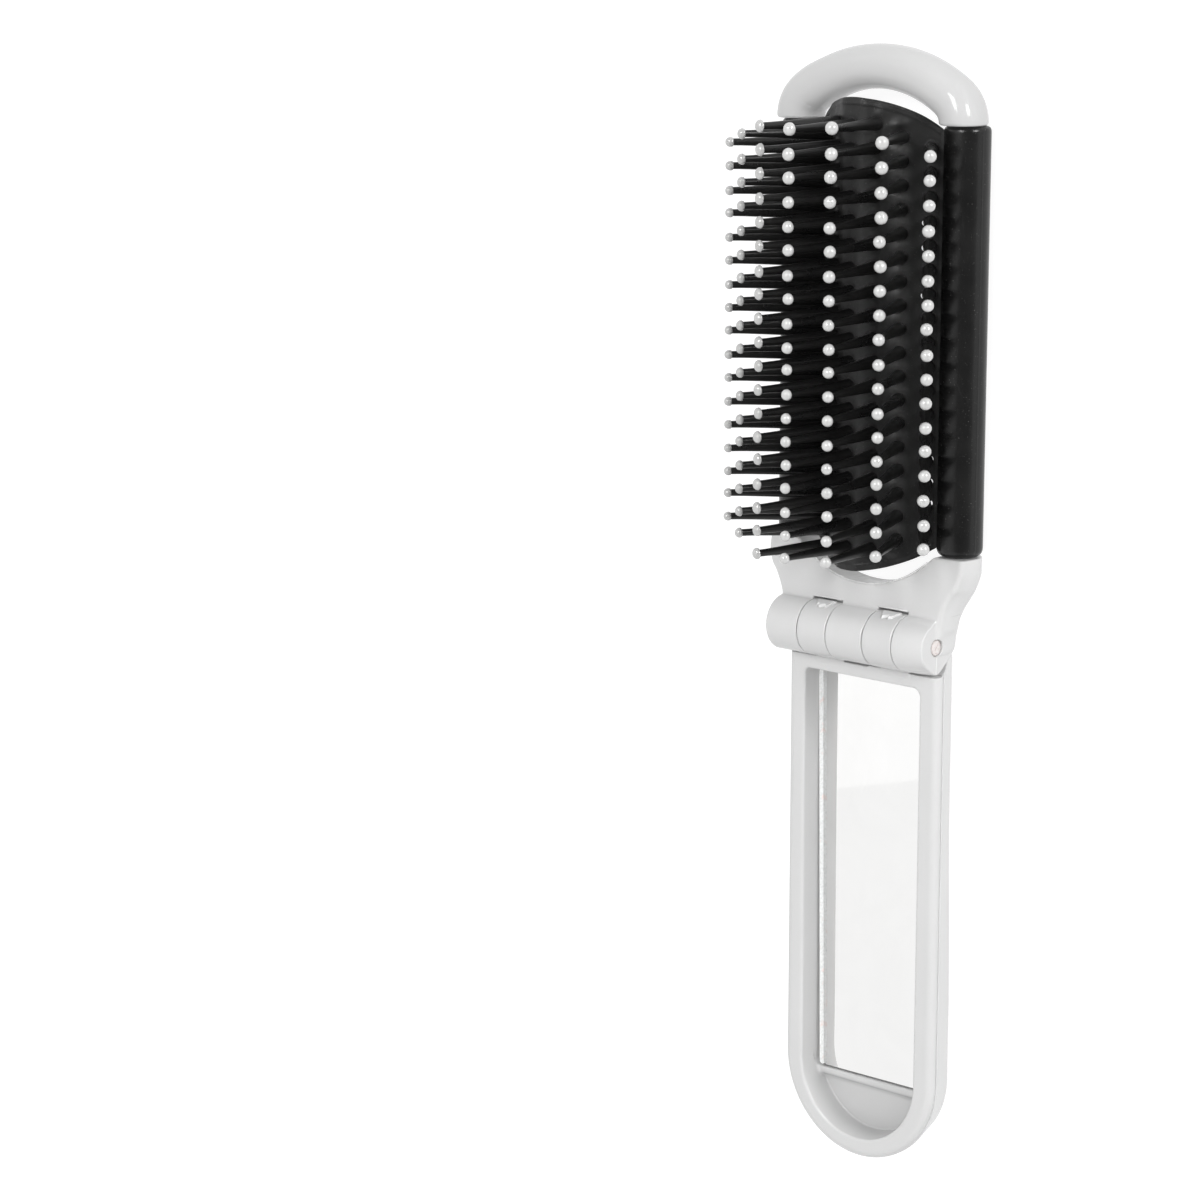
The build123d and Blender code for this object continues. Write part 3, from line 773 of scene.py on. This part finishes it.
def tray_f(x, y, z):
    d2 = handle_2d(x, y, 17.3)
    flange = smax(d2 + 0.0 * z, z + 0.5, 1.45)
    flange = smax(flange, -2.07 - z, 0.09)
    under = (d2 + 1.25 + (-2.53 - z) * TAN) * COS
    under = smax(np.maximum(under, z + 1.6), -7.0 - z, 0.2)
    under = smax(under, y + 7.6, 0.4)
    body = np.minimum(flange, under)
    # recess with its rounded mouth and corners
    draft = (-0.5 - z) * np.interp(y, [-90.0, -84.5], [0.085, 0.0])
    xs = x + 0.2 - np.where(x < -3.0, 0.3 * np.interp(y, [-96.0, -86.0, -72.0, -35.0], [0.0, 1.0, 1.0, 0.25]), 0.0)
    side_d = handle_2d(xs, y, 13.4, -82.3) + draft - 0.32 * np.interp(-z, [4.1, 4.6], [0.0, 1.0]) * np.interp(y, [-85.0, -83.5], [0.0, 1.0])
    corner = np.where(x > 0, 1.6, 1.0)
    hx = np.maximum(np.abs(xs) - 13.4 + corner, 0.0)
    hy = np.maximum(y + 8.2 + corner, 0.0)
    top_d = np.hypot(hx, hy) - corner + np.minimum(np.maximum(np.abs(xs) - 13.4 + corner, y + 8.2 + corner), 0.0)
    # the mouth is rounded a little
    lip = np.clip(0.40 - 0.006 * x, 0.34, 0.48) * np.interp(y, [-93.0, -84.0], [0.85, 1.0])
    depth = np.clip(-0.5 - z, 0.0, lip)
    flare = lip - np.sqrt(np.maximum(lip ** 2 - (lip - depth) ** 2, 0.0))
    r2 = np.maximum(side_d, top_d) - flare
    recess = smax(r2 + 0.0 * z, -6.0 - z, 0.35)
    body = smax(body, -recess, 0.16)
    rib = smax(np.abs(x) - 12.9, np.maximum(y + 85.36 - 0.0165 * x, -86.55 - y + 0.008 * x + 0.6 * (z + 4.7)), 0.2)
    rib = smax(smax(rib, z + 4.7, 0.5), -6.6 - z, 0.1)
    body = smin(body, rib, 0.8)
    clear = 5.62 + 0.24 * np.interp(x, [-5.2, -5.0, 1.2, 1.5], [0.0, 1.0, 1.0, 0.0]) + 0.12 * np.interp(x, [8.0, 8.3], [0.0, 1.0])
    body = smax(body, clear - np.hypot(y, z), 0.12)
    body = np.maximum(body, y + 2.0)
    kr = knuckle_range(x)
    roll = smax(np.hypot(y, z) - R_BARREL, kr - 0.08, 0.26)
    web = smax(smax(kr + 0.0 * z, np.abs(z + 1.515) - 1.015, 0.25), np.abs(y + 3.4) - 3.2, 0.2)
    body = smin(body, smin(roll, web, 0.5), 0.25)
    xm = np.abs(x) - 7.55
    for turn in (0.0, 220.0):
        ct, st = math.cos(math.radians(turn)), math.sin(math.radians(turn))
        yr, zr = y * ct + z * st, -y * st + z * ct
        rad = np.hypot(yr, zr)
        tooth = np.abs(x) - 0.42 * np.sign(x) - 7.55
        saw = 0.34 * (np.mod(x + 0.45, 1.45) - 0.725)
        lug = np.maximum(np.maximum(np.abs(tooth) - 2.0 + 0.5 * (zr - 1.0), rad - 5.56), np.maximum(zr - 2.45 + saw + 0.37 * (yr - 4.9), np.maximum(0.75 - zr, 4.3 - yr)))
        body = smin(body, lug, 0.05)
    return smax(body, 1.56 - np.hypot(y, z), 0.1)


v, q, nrm = solid(tray_f, (-17.8, -99.7, -8.5), (17.8, 5.9, 5.9), 0.235 * FINE, 0.30)
tray = make_object("handle_tray_moulding", v, q, nrm, [MAT_HANDLE])
finish_piece(tray, "handle", "handle_plastic", "handle_tray")


def cover_f(x, y, z):
    d2 = handle_2d(x, y, 17.3)
    t1, t2 = np.clip((-28.0 - y) / 42.0, 0.0, 1.0), np.clip((-80.0 - y) / 13.0, 0.0, 1.0)
    lean = -0.12 * t1 * t1 * (3 - 2 * t1) - 0.07 * t2 * t2 * (3 - 2 * t2)
    slope = (d2 + np.maximum(-2.54 - z, 0.0) * (TAN + lean)) * COS
    outer = smax(slope, z + 2.08, 0.09)
    outer = smax(outer, -9.2 - z, 1.3)
    outer = smax(outer, y + 2.35, 1.2)
    inner = smax((d2 + 1.15 + (-2.53 - z) * TAN) * COS, -8.05 - z, 1.5)
    inner = smax(inner, y + 7.55, 0.4)
    shell = smax(outer, -inner, 0.2)
    return smax(shell, 5.4 - np.hypot(y, z), 0.25)


v, q, nrm = solid(cover_f, (-17.8, -99.7, -9.8), (17.8, -1.6, -1.9), 0.26 * FINE, 0.32)
cover = make_object("handle_cover_shell", v, q, nrm, [MAT_COVER])
finish_piece(cover, "handle", "handle_plastic", "handle_cover")

# ------------------------------------------------------------------- mirror
bm = bmesh.new()
XL, XR, Y0, Y1, ZF, ZB = -12.85, 12.25, -85.2, -8.75, -4.6, -5.7
SILVER = ZF - 0.9
rings = []
TURN, CX, CY = 0.0165, -0.3, -46.65      # the glass sits a little turned in its recess
for inset, z in ((0.1, ZB), (0.0, ZB + 0.1), (0.0, ZF - 0.06), (0.05, ZF), (0.13, ZF), (0.17, ZF - 0.04), (0.2, SILVER + 0.22), (0.22, SILVER), (1.1, SILVER)):
    ring = []
    r = 0.8
    for cx, cy, a0 in ((XR, Y1, 0), (XL, Y1, 90), (XL, Y0, 180), (XR, Y0, 270)):
        sx, sy = (1 if cx > 0 else -1), (1 if cy == Y1 else -1)
        rr = max(r - inset, 0.25)
        for i in range(7):
            a = math.radians(a0 + 90 * i / 6)
            iy = inset * 0.4
            # the ground rim stands up less along the bottom edge
            zi = z if z <= SILVER else SILVER + (z - SILVER) * (1 - 0.8 * max(0.0, -math.sin(a)))
            gx, gy = cx - sx * (inset + rr) + rr * math.cos(a) - CX, cy - sy * (iy + rr) + rr * math.sin(a) - CY
            ring.append(bm.verts.new(to_frame((CX + gx - TURN * gy, CY + gy + TURN * gx, zi))))
    rings.append(ring)
for a, b in zip(rings, rings[1:]):
    for i in range(len(a)):
        j = (i + 1) % len(a)
        fc = bm.faces.new((a[i], a[j], b[j], b[i]))
        # bottom-edge faces take painted shade (2), other edges glow with painted light (1), the border on the silver
        # carries painted reflection (3)
        fc.material_index = (0 if b is rings[-1] else 2) if 17 <= i <= 23 else 3 if b is rings[-1] else 1
top = bm.faces.new(rings[-1])
bottom = bm.faces.new(rings[0][::-1])
bm.normal_update()
for fc in bm.faces:
    fc.smooth = False
top.material_index = 0
bottom.material_index = 1
me = bpy.data.meshes.new("mirror_glass")
bm.to_mesh(me)
bm.free()
me.materials.append(MAT_MIRROR)
me.materials.append(MAT_GLASS_EDGE_PAINTED_GLOW)
me.materials.append(MAT_GLASS_PAINTED_SHADE)
me.materials.append(MAT_GLASS_PAINTED_REFLECTION)
mirror = bpy.data.objects.new("mirror_glass", me)
bpy.context.scene.collection.objects.link(mirror)
finish_piece(mirror, "handle", "mirror_glass", "mirror")
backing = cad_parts["mirror_backing"]
backing.data.materials.clear()
backing.data.materials.append(MAT_ADHESIVE)

# ---------------------------------------------------------------- hinge pin
prof = [(0.0, -17.5), (0.6, -17.5), (1.0, -17.48), (1.38, -17.38), (1.48, -17.2), (1.5, 16.9), (1.44, 17.12), (1.3, 17.2), (0.6, 17.22), (0.0, 17.22)]
TEETH = 26
pv, pf = [], []
for r, z in prof:
    for i in range(TEETH * 4):
        t = 2 * math.pi * i / (TEETH * 4)
        k = 1.0 - (0.085 if (i % 4) in (0, 1) and r > 1.25 and z > 15 or ((i % 4) in (0, 1) and r > 1.2 and z < -15) else 0.0)
        pv.append((z, r * k * math.cos(t) if r > 0 else 0.0, r * k * math.sin(t) if r > 0 else 0.0))
m4 = TEETH * 4
for i in range(len(prof) - 1):
    for j in range(m4):
        k = (j + 1) % m4
        pf.append((i * m4 + j, i * m4 + k, (i + 1) * m4 + k, (i + 1) * m4 + j))
pin = make_object("hinge_pin_knurled", np.array(pv), pf, None, [MAT_STEEL])
bm = bmesh.new()
bm.from_mesh(pin.data)
bmesh.ops.remove_doubles(bm, verts=bm.verts[:], dist=1e-7)
bmesh.ops.recalc_face_normals(bm, faces=bm.faces[:])
bm.to_mesh(pin.data)
bm.free()
sharp_by_angle(pin, 35)
finish_piece(pin, "head", "pin_steel", "hinge_pin")

# --------------------------------------------------------------- bristle pad
PAD_MID, SHAFT_L = 53.9, 16.93
ROWS = {
    "d": (19, 0.0, 4.2, 0.0, 4.139), "e": (19, 4.13, 2.94, 12.84, 4.162),
    "f": (18, 7.95, 0.32, 26.9, 4.168), "g": (17, 12.12, -2.6, 37.3, 4.203)}
ROW_SHIFT = {"e": 0.15, "f": -0.12, "g": -0.36}
CUT = {"d": (-2.1, 2.1), "e": (2.1, 6.05), "f": (6.05, 10.1), "g": (10.1, 13.45)}
section = spline([(0.0, 4.42), (2.1, 4.2), (4.13, 3.04), (6.05, 1.75), (8.0, 0.33), (10.1, -1.3), (12.0, -2.58), (13.5, -3.52), (14.6, -4.15)], 10)


def web_z(x):
    return np.interp(np.abs(x), section[:, 0], section[:, 1])


def web_n(x):
    e = 0.25
    s = (web_z(x + e) - web_z(x - e)) / (2 * e)
    l = np.sqrt(1 + s * s)
    return -s / l, 1 / l


def arc_y(x, end_y, mid_y):
    """Pad end: an arc through (-14, end_y), (0, mid_y) and (14, end_y)."""
    d = abs(mid_y - end_y)
    r = (14.0 ** 2 + d * d) / (2 * d)
    sgn = 1 if mid_y > end_y else -1
    return mid_y - sgn * (r - np.sqrt(r * r - x * x))


rng = np.random.default_rng(7)
HOLES = {  # row, pin (from the handle end), side of the pin's base
    "g": [(13, -1, -0.45), (12, -1, -0.6), (10, -1, -0.5), (3, 1, 0.0), (2, 1, 0.15), (1, 1, 0.5)]}


def wobble(x, y, seed):
    return (np.sin(0.71 * x + 0.43 * y + seed) * np.sin(0.53 * y - 0.9 * x + 2.1 * seed) + 0.6 * np.sin(1.37 * y + 1.9 * x + seed * 3.3) * np.sin(0.83 * x - 0.31 * y))


def strip_mesh(row, s):
    n_pin, bx, bz, tilt, pitch = ROWS[row]
    x0, x1 = CUT[row]
    step = 0.24 * FINE
    nu = int(round((x1 - x0) * 1.18 / step)) + 1
    nv = int(round(78.0 / step)) + 1
    us = np.linspace(x0, x1, nu)
    if row == "g":   # narrow columns of their own beside the pins' bases, for the slits there
        extra = [11.02 - 0.1, 11.02 + 0.1, 13.1 - 0.1, 13.1 + 0.1]
        us = np.array([u for u in us if min(abs(u - e) for e in extra) > 0.13])
        us = np.sort(np.concatenate([us, extra]))
        nu = len(us)
    vs = np.linspace(0, 1, nv)
    U, V = np.meshgrid(us, vs, indexing="ij")
    ylo, yhi = arc_y(U, 17.2, 12.3), arc_y(U, 90.4, 96.0)
    Y = ylo + (yhi - ylo) * V
    removed = np.zeros((nu - 1, nv - 1), bool)
    if row in HOLES and s > 0:
        for lo_col, hi_col, sgn in ((10.92, 11.12, -1), (13.0, 13.2, 1)):
            i0 = int(np.argmin(np.abs(us - lo_col)))
            i1 = int(np.argmin(np.abs(us - hi_col)))
            slit = np.zeros(nv)
            shift = np.zeros(nv)
            yc = Y[i0]
            for pin_i, side_, dy in HOLES[row]:
                if side_ != sgn:
                    continue
                y_pin = PAD_MID + (pin_i - (n_pin - 1) / 2) * pitch
                t = (yc - (y_pin + dy)) / 0.62
                inside = np.abs(t) < 1
                slit = np.where(inside, np.maximum(slit, 0.13 * np.sqrt(np.maximum(0, 1 - t * t))), slit)
                shift = np.where(np.abs(t) < 2.2, sgn * -0.26 * np.clip(t, -1.3, 1.3) ** 2, shift)
                k = np.nonzero(inside)[0]
                removed[i0, k[0]:k[-1]] = True
            base = (us[i0] + us[i1]) / 2
            w = np.where(slit > 0, np.maximum(slit, 0.03), 0.1)
            U[i0] = base + shift - w
            U[i1] = base + shift + w
    X = U
    Z = web_z(X)
    nx, nz = web_n(X)
    # detail: bead inside the two ends, low mound and groove at each pin, shallow waves
    d_end = np.minimum(Y - ylo, yhi - Y)
    h = 0.13 * np.exp(-((d_end - 1.0) / 0.20) ** 2) + 0.05 * np.exp(-((d_end - 0.15) / 0.2) ** 2)
    h = h + 0.035 * wobble(X, Y, 0.7)
    for r2, (n2, bx2, bz2, tl2, pt2) in ROWS.items():
        for sx in ((1, -1) if r2 != "d" else (1,)):
            if abs(sx * bx2 - (x0 + x1) / 2) > 6.5:
                continue
            k = (Y - PAD_MID) / pt2 + (n2 - 1) / 2
            kk = np.clip(np.round(k), 0, n2 - 1)
            dy = Y - (PAD_MID + (kk - (n2 - 1) / 2) * pt2)
            dx = (X - sx * bx2) * 1.19
            r = np.hypot(dx, dy)
            h = h + 0.05 * np.exp(-(r / 1.9) ** 4) - 0.06 * np.exp(-((r - 1.42) / 0.14) ** 2)
    mid = np.abs(((Y - PAD_MID) / 4.168 + 8.5) % 1.0 - 0.5) * 4.168        # 0 half way between two pins of row f
    h = h + (0.42 + 0.10 * np.sin(Y * 0.9)) * np.exp(-((X - 7.5 - 0.3 * np.cos(Y * 1.7)) / 1.25) ** 2) * np.exp(-(mid / 1.05) ** 2)
    h = h + 0.012 * np.sin(9.0 * Y + 5.0 * X + 2.0 * np.sin(1.3 * Y)) * np.exp(-((X - 7.8) / 1.6) ** 2)
    mid = np.abs(((Y - PAD_MID) / 4.162 + 9.0) % 1.0 - 0.5) * 4.162
    h = h + 0.18 * np.exp(-((X - 4.9) / 0.8) ** 2) * np.exp(-(mid / 0.9) ** 2)
    h = h + 0.05 * np.exp(-((Y - 90.1 + 0.02 * X * X) / 0.12) ** 2)
    edge = np.clip(d_end / 0.35, 0, 1)
    round_off = 0.35 * (1 - np.sqrt(np.maximum(0, 1 - (1 - edge) ** 2)))
    top = np.stack([s * (X + nx * (h - round_off)), Y, Z + nz * (h - round_off)], -1)
    t = 0.9
    low = np.stack([s * (X - nx * (t - round_off)), Y, Z - nz * (t - round_off)], -1)
    if row == "g" and s > 0:
        shear = np.clip((d_end - 1) / 4, 0, 1)[..., None] * np.array([-0.138, -0.2035, 0.097]) * t
        inner = (np.arange(nu) > 0) & (np.arange(nu) < nu - 1)
        low = low + shear * inner[:, None, None]
    v = np.concatenate([top.reshape(-1, 3), low.reshape(-1, 3)])
    off = nu * nv
    f = []
    for i in range(nu - 1):
        for j in range(nv - 1):
            if removed[i, j]:
                continue
            a, b, c, d = i * nv + j, (i + 1) * nv + j, (i + 1) * nv + j + 1, i * nv + j + 1
            f.append((a, b, c, d))
            f.append((a + off, d + off, c + off, b + off))

    def wall(a, b):
        f.append((a, a + off, b + off, b))

    for j in range(nv - 1):
        wall(j + 1, j)
        wall((nu - 1) * nv + j, (nu - 1) * nv + j + 1)
    for i in range(nu - 1):
        wall(i * nv, (i + 1) * nv)
        wall((i + 1) * nv + nv - 1, i * nv + nv - 1)
    for i, j in zip(*np.nonzero(removed)):
        for (i2, j2), (a, b) in (((i - 1, j), (i * nv + j, i * nv + j + 1)), ((i + 1, j), ((i + 1) * nv + j + 1, (i + 1) * nv + j)),
                                 ((i, j - 1), ((i + 1) * nv + j, i * nv + j)), ((i, j + 1), (i * nv + j + 1, (i + 1) * nv + j + 1))):
            if not removed[i2, j2]:
                wall(a, b)
    if s < 0:
        f = [q[::-1] for q in f]
    # normals of the open surfaces, taken across the cuts so that neighbours match
    gu = np.gradient(top, axis=0)
    gv = np.gradient(top, axis=1)
    nt_ = np.cross(gu, gv) * s
    nt_ /= np.linalg.norm(nt_, axis=-1)[..., None]
    for side_i in (0, nu - 1):
        nt_[side_i] = np.stack([s * nx[side_i], np.zeros(nv), nz[side_i]], -1) * 0.5 + nt_[side_i] * 0.5
        nt_[side_i] /= np.linalg.norm(nt_[side_i], axis=-1)[..., None]
    return v, f, nt_.reshape(-1, 3), off


def tip_size(row, i, n):
    """Diameter of a ball tip: the moulding varies, larger towards the arch."""
    t = i / (n - 1)
    lo, hi = {"d": (1.94, 2.32), "e": (2.02, 2.36), "f": (2.10, 2.36), "g": (2.18, 2.18)}[row]
    return lo + (hi - lo) * t ** 2.2


def build_row(letter, row, s):
    n_pin, bx, bz, tilt, pitch = ROWS[row]
    sv, sf, sn, off = strip_mesh(row, s)
    pins, tips = [], []
    ta = math.radians(tilt)
    for i in range(n_pin):
        y = PAD_MID + (i - (n_pin - 1) / 2) * pitch + (ROW_SHIFT.get(row, 0.0) if s > 0 else 0.0)
        ax = Vector((s * math.sin(ta) + rng.normal(0, 0.004), rng.normal(0, 0.006), math.cos(ta))).normalized()
        base = np.array([s * bx, y, bz])
        prof = [(0.0, -0.75), (1.25, -0.75), (1.28, -0.1), (1.22, 0.12), (1.17, 0.35), (1.13, 0.9), (1.07, 2.2), (0.99, 4.2), (0.90, 6.5), (0.80, 9.0),
                (0.70, 11.5), (0.62, 13.6), (0.575, 15.2), (0.56, 16.3), (0.50, SHAFT_L + 0.1), (0.0, SHAFT_L + 0.2)]
        if s < 0:
            prof = [(rad * 1.13 if rad < 1.2 else rad, hgt) for rad, hgt in prof]
        pins.append(lathe(prof, 20, base, ax, cap=False, seed=rng.uniform(0, 1)))
        D = tip_size(row, i, n_pin) * (1 + rng.normal(0, 0.012))
        if s < 0:
            D = {"e": 2.12, "f": 1.84, "g": 1.66}.get(row, 2.0) * (1.0 + 0.07 * (i / (n_pin - 1)) ** 4) * (1 + rng.normal(0, 0.012))
        R = D / 2
        cap_h = 0.97 * R
        low = 0.36 * R
        if s < 0:
            cap_h, low = {"e": (0.78 * R, 0.16 * R), "f": (0.97 * R, 0.33 * R), "g": (1.05 * R, 0.55 * R)}.get(row, (cap_h, low))
        prof = [(0.0, -low - 0.02), (0.52, -low - 0.02), (0.60, -low), (R * 0.80, -low + 0.02), (R * 0.93, -low + 0.12), (R * 0.99, -low + 0.27), (R, -0.02)]
        for a in np.linspace(0, 90, 13)[1:]:
            a = math.radians(a)
            prof.append((R * math.cos(a) if a < 1.56 else 0.0, cap_h * math.sin(a)))
        tips.append(lathe(prof, 28, base + np.array(ax) * SHAFT_L, ax, cap=False, seed=rng.uniform(0, 1)))
    pv, pf = merge(pins)
    v = np.vstack([sv, pv])
    f = sf + [tuple(j + len(sv) for j in q) for q in pf]
    face_mat = [0] * len(sf) + [1] * len(pf)
    ob = make_object("bristles_" + letter, v, f, None, [MAT_WEB, MAT_PIN], face_mat)
    fix_row_normals(ob, sn, off, len(sv), len(sf))
    finish_piece(ob, "row_" + letter, "black_bristle", "bristle_row_" + letter)
    tv, tf = merge(tips)
    tp = make_object("balls_" + letter, tv, tf, None, [MAT_TIP if s > 0 else MAT_TIP_PAINTED_SHADE])
    outward(tp)
    finish_piece(tp, "row_" + letter, "ball_tip", "tips_row_" + letter)


def fix_row_normals(ob, sn, off, n_strip, n_strip_faces):
    """Strip top shades with its own smooth normals, walls and pins with the mesh's."""
    me = ob.data
    bm = bmesh.new()
    bm.from_mesh(me)
    bm.faces.ensure_lookup_table()
    bmesh.ops.recalc_face_normals(bm, faces=bm.faces[:])
    for e in bm.edges:
        e.smooth = len(e.link_faces) == 2 and e.calc_face_angle(0) < math.radians(38)
    bm.to_mesh(me)
    bm.free()
    loops = np.empty(len(me.loops), np.int32)
    me.loops.foreach_get("vertex_index", loops)
    corner = np.empty(len(me.loops) * 3, np.float32)
    me.corner_normals.foreach_get("vector", corner)
    corner = corner.reshape(-1, 3)
    face_n = np.empty(len(me.polygons) * 3, np.float32)
    me.polygons.foreach_get("normal", face_n)
    face_n = face_n.reshape(-1, 3)
    counts = np.empty(len(me.polygons), np.int32)
    me.polygons.foreach_get("loop_total", counts)
    poly = np.repeat(np.arange(len(counts)), counts)
    is_top = (loops < off)
    want = np.zeros((len(loops), 3), np.float32)
    want[is_top] = sn[loops[is_top]]
    good = is_top & ((face_n[poly] * want).sum(1) > 0.6)
    corner[good] = want[good]
    me.normals_split_custom_set(corner.tolist())
    me.update()


for letter, row, s in (("a", "g", -1), ("b", "f", -1), ("c", "e", -1), ("d", "d", 1), ("e", "e", 1), ("f", "f", 1), ("g", "g", 1)):
    build_row(letter, row, s)

# rubber skirts that join the outer strips to the tubes
for s, body, name in ((-1, "row_a", "skirt_left"), (1, "row_g", "skirt_right")):
    us = np.linspace(13.45, 14.35 if s > 0 else 14.6, 12)
    vs = np.linspace(0, 1, 160)
    U, V = np.meshgrid(us, vs, indexing="ij")
    ylo = arc_y(np.minimum(U, 13.99), 17.2, 12.3)
    yhi = arc_y(np.minimum(U, 13.99), 90.4, 96.0)
    Y = ylo + (yhi - ylo) * V
    nx, nz = web_n(U)
    Z = web_z(U)
    top = np.stack([s * U, Y, Z], -1)
    low = np.stack([s * (U - nx * 0.75), Y, Z - nz * 0.75], -1)
    v = np.concatenate([top.reshape(-1, 3), low.reshape(-1, 3)])
    nu, nv = U.shape
    off = nu * nv
    f = []
    for i in range(nu - 1):
        for j in range(nv - 1):
            a, b, c, d = i * nv + j, (i + 1) * nv + j, (i + 1) * nv + j + 1, i * nv + j + 1
            f.append((a, b, c, d))
            f.append((a + off, d + off, c + off, b + off))
    for j in range(nv - 1):
        f.append((j + 1, j + 1 + off, j + off, j))
        a = (nu - 1) * nv + j
        f.append((a, a + off, a + 1 + off, a + 1))
    for i in range(nu - 1):
        a, b = i * nv, (i + 1) * nv
        f.append((a, a + off, b + off, b))
        a, b = (i + 1) * nv + nv - 1, i * nv + nv - 1
        f.append((a, a + off, b + off, b))
    ob = make_object(name, v, f, None, [MAT_SKIRT])
    outward(ob)
    sharp_by_angle(ob, 40)
    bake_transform(ob)

# ------------------------------------------------------------- floor, lights
bm = bmesh.new()
bmesh.ops.create_grid(bm, x_segments=2, y_segments=2, size=4.0)
me = bpy.data.meshes.new("studio_floor")
bm.to_mesh(me)
bm.free()
floor = bpy.data.objects.new("studio_floor", me)
floor.location = (0, 0, -0.0002)
bpy.context.scene.collection.objects.link(floor)
m, nt, b, vec = new_material("studio_floor")
b.inputs["Base Color"].default_value = (0.24, 0.24, 0.24, 1)
b.inputs["Roughness"].default_value = 0.9
b.inputs["Specular IOR Level"].default_value = 0.0
b.inputs["Emission Color"].default_value = (1, 1, 1, 1)
b.inputs["Emission Strength"].default_value = 0.88
me.materials.append(m)
floor.visible_diffuse = False
floor.visible_glossy = False
# the same floor as the brush sees it: less glow, so that undersides stay natural
low_floor = bpy.data.objects.new("studio_floor_bounce", me.copy())
low_floor.location = (0, 0, -0.0006)
low_floor.visible_camera = False
bpy.context.scene.collection.objects.link(low_floor)
m, nt, b, vec = new_material("studio_floor_bounce")
b.inputs["Base Color"].default_value = (0.24, 0.24, 0.24, 1)
b.inputs["Roughness"].default_value = 0.9
b.inputs["Specular IOR Level"].default_value = 0.0
b.inputs["Emission Color"].default_value = (1, 1, 1, 1)
b.inputs["Emission Strength"].default_value = 0.74
low_floor.data.materials.clear()
low_floor.data.materials.append(m)

world = bpy.data.worlds.new("studio")
bpy.context.scene.world = world
world.use_nodes = True
bg = world.node_tree.nodes["Background"]
bg.inputs["Color"].default_value = (1, 1, 1, 1)
# even white room with a darker end behind the camera, which is what the dark rubber mirrors
wt = world.node_tree
toward = wt.nodes.new("ShaderNodeVectorMath")
toward.operation = "DOT_PRODUCT"
toward.inputs[1].default_value = tuple(BACK)
wt.links.new(wt.nodes.new("ShaderNodeTexCoord").outputs["Generated"], toward.inputs[0])
shade = wt.nodes.new("ShaderNodeMapRange")
shade.interpolation_type = "SMOOTHSTEP"
for key, val in (("From Min", 0.45), ("From Max", 0.92), ("To Min", 0.80), ("To Max", 0.22)):
    shade.inputs[key].default_value = val
wt.links.new(toward.outputs["Value"], shade.inputs["Value"])
wt.links.new(shade.outputs["Result"], bg.inputs["Strength"])


def softbox(name, direction, distance, size_x, size_y, radiance, target=(0, 0.03, 0.01), diffuse=True, up=UP, centre=None):
    """Rectangular light facing the target, its size_y lengthwise with up; radiance is what it looks like in a mirror."""
    d = bpy.data.lights.new(name, "AREA")
    d.shape = "RECTANGLE"
    d.size, d.size_y = size_x, size_y
    d.energy = radiance * math.pi * size_x * size_y
    o = bpy.data.objects.new(name, d)
    zc = Vector(direction).normalized()
    yc = (Vector(up) - zc * Vector(up).dot(zc)).normalized()
    xc = yc.cross(zc)
    p = Vector(centre) if centre is not None else Vector(target) + zc * distance
    o.matrix_world = Matrix(((xc.x, yc.x, zc.x, p.x), (xc.y, yc.y, zc.y, p.y), (xc.z, yc.z, zc.z, p.z), (0, 0, 0, 1)))
    o.visible_camera = False
    o.visible_diffuse = diffuse
    bpy.context.scene.collection.objects.link(o)
    return o


def cam_dir(a, b, c):
    return RIGHT * a + UP * b + BACK * c


softbox("softbox_right", cam_dir(0.52, 0.30, 0.80), 1.3, 0.38, 0.46, 14.5)
softbox("softbox_left", cam_dir(-0.564, 0.282, 0.767), 1.3, 0.38, 0.50, 13.0)
fill = softbox("fill", cam_dir(0.0, -0.35, 0.94), 1.7, 2.2, 2.0, 1.20)
fill.visible_glossy = False
# white card that the mirror sees above a slanted edge
edge_mid, edge_dir = Vector((-0.843, -0.378, 1.051)), Vector((0.967, 0.253, 0.0))
away = Vector((-0.617, -0.25, 0.746))
inward = Vector((-0.25, 0.96, 0.114)).normalized()
softbox("white_card", away, 0, 3.0, 1.6, 0.08, diffuse=False, up=inward, centre=edge_mid + inward * 0.8)
softbox("pale_card", away, 0, 4.0, 4.0, 0.13, diffuse=False, up=inward, centre=edge_mid * 1.25)

bpy.context.scene.view_settings.view_transform = "Standard"
bpy.context.scene.view_settings.look = "None"
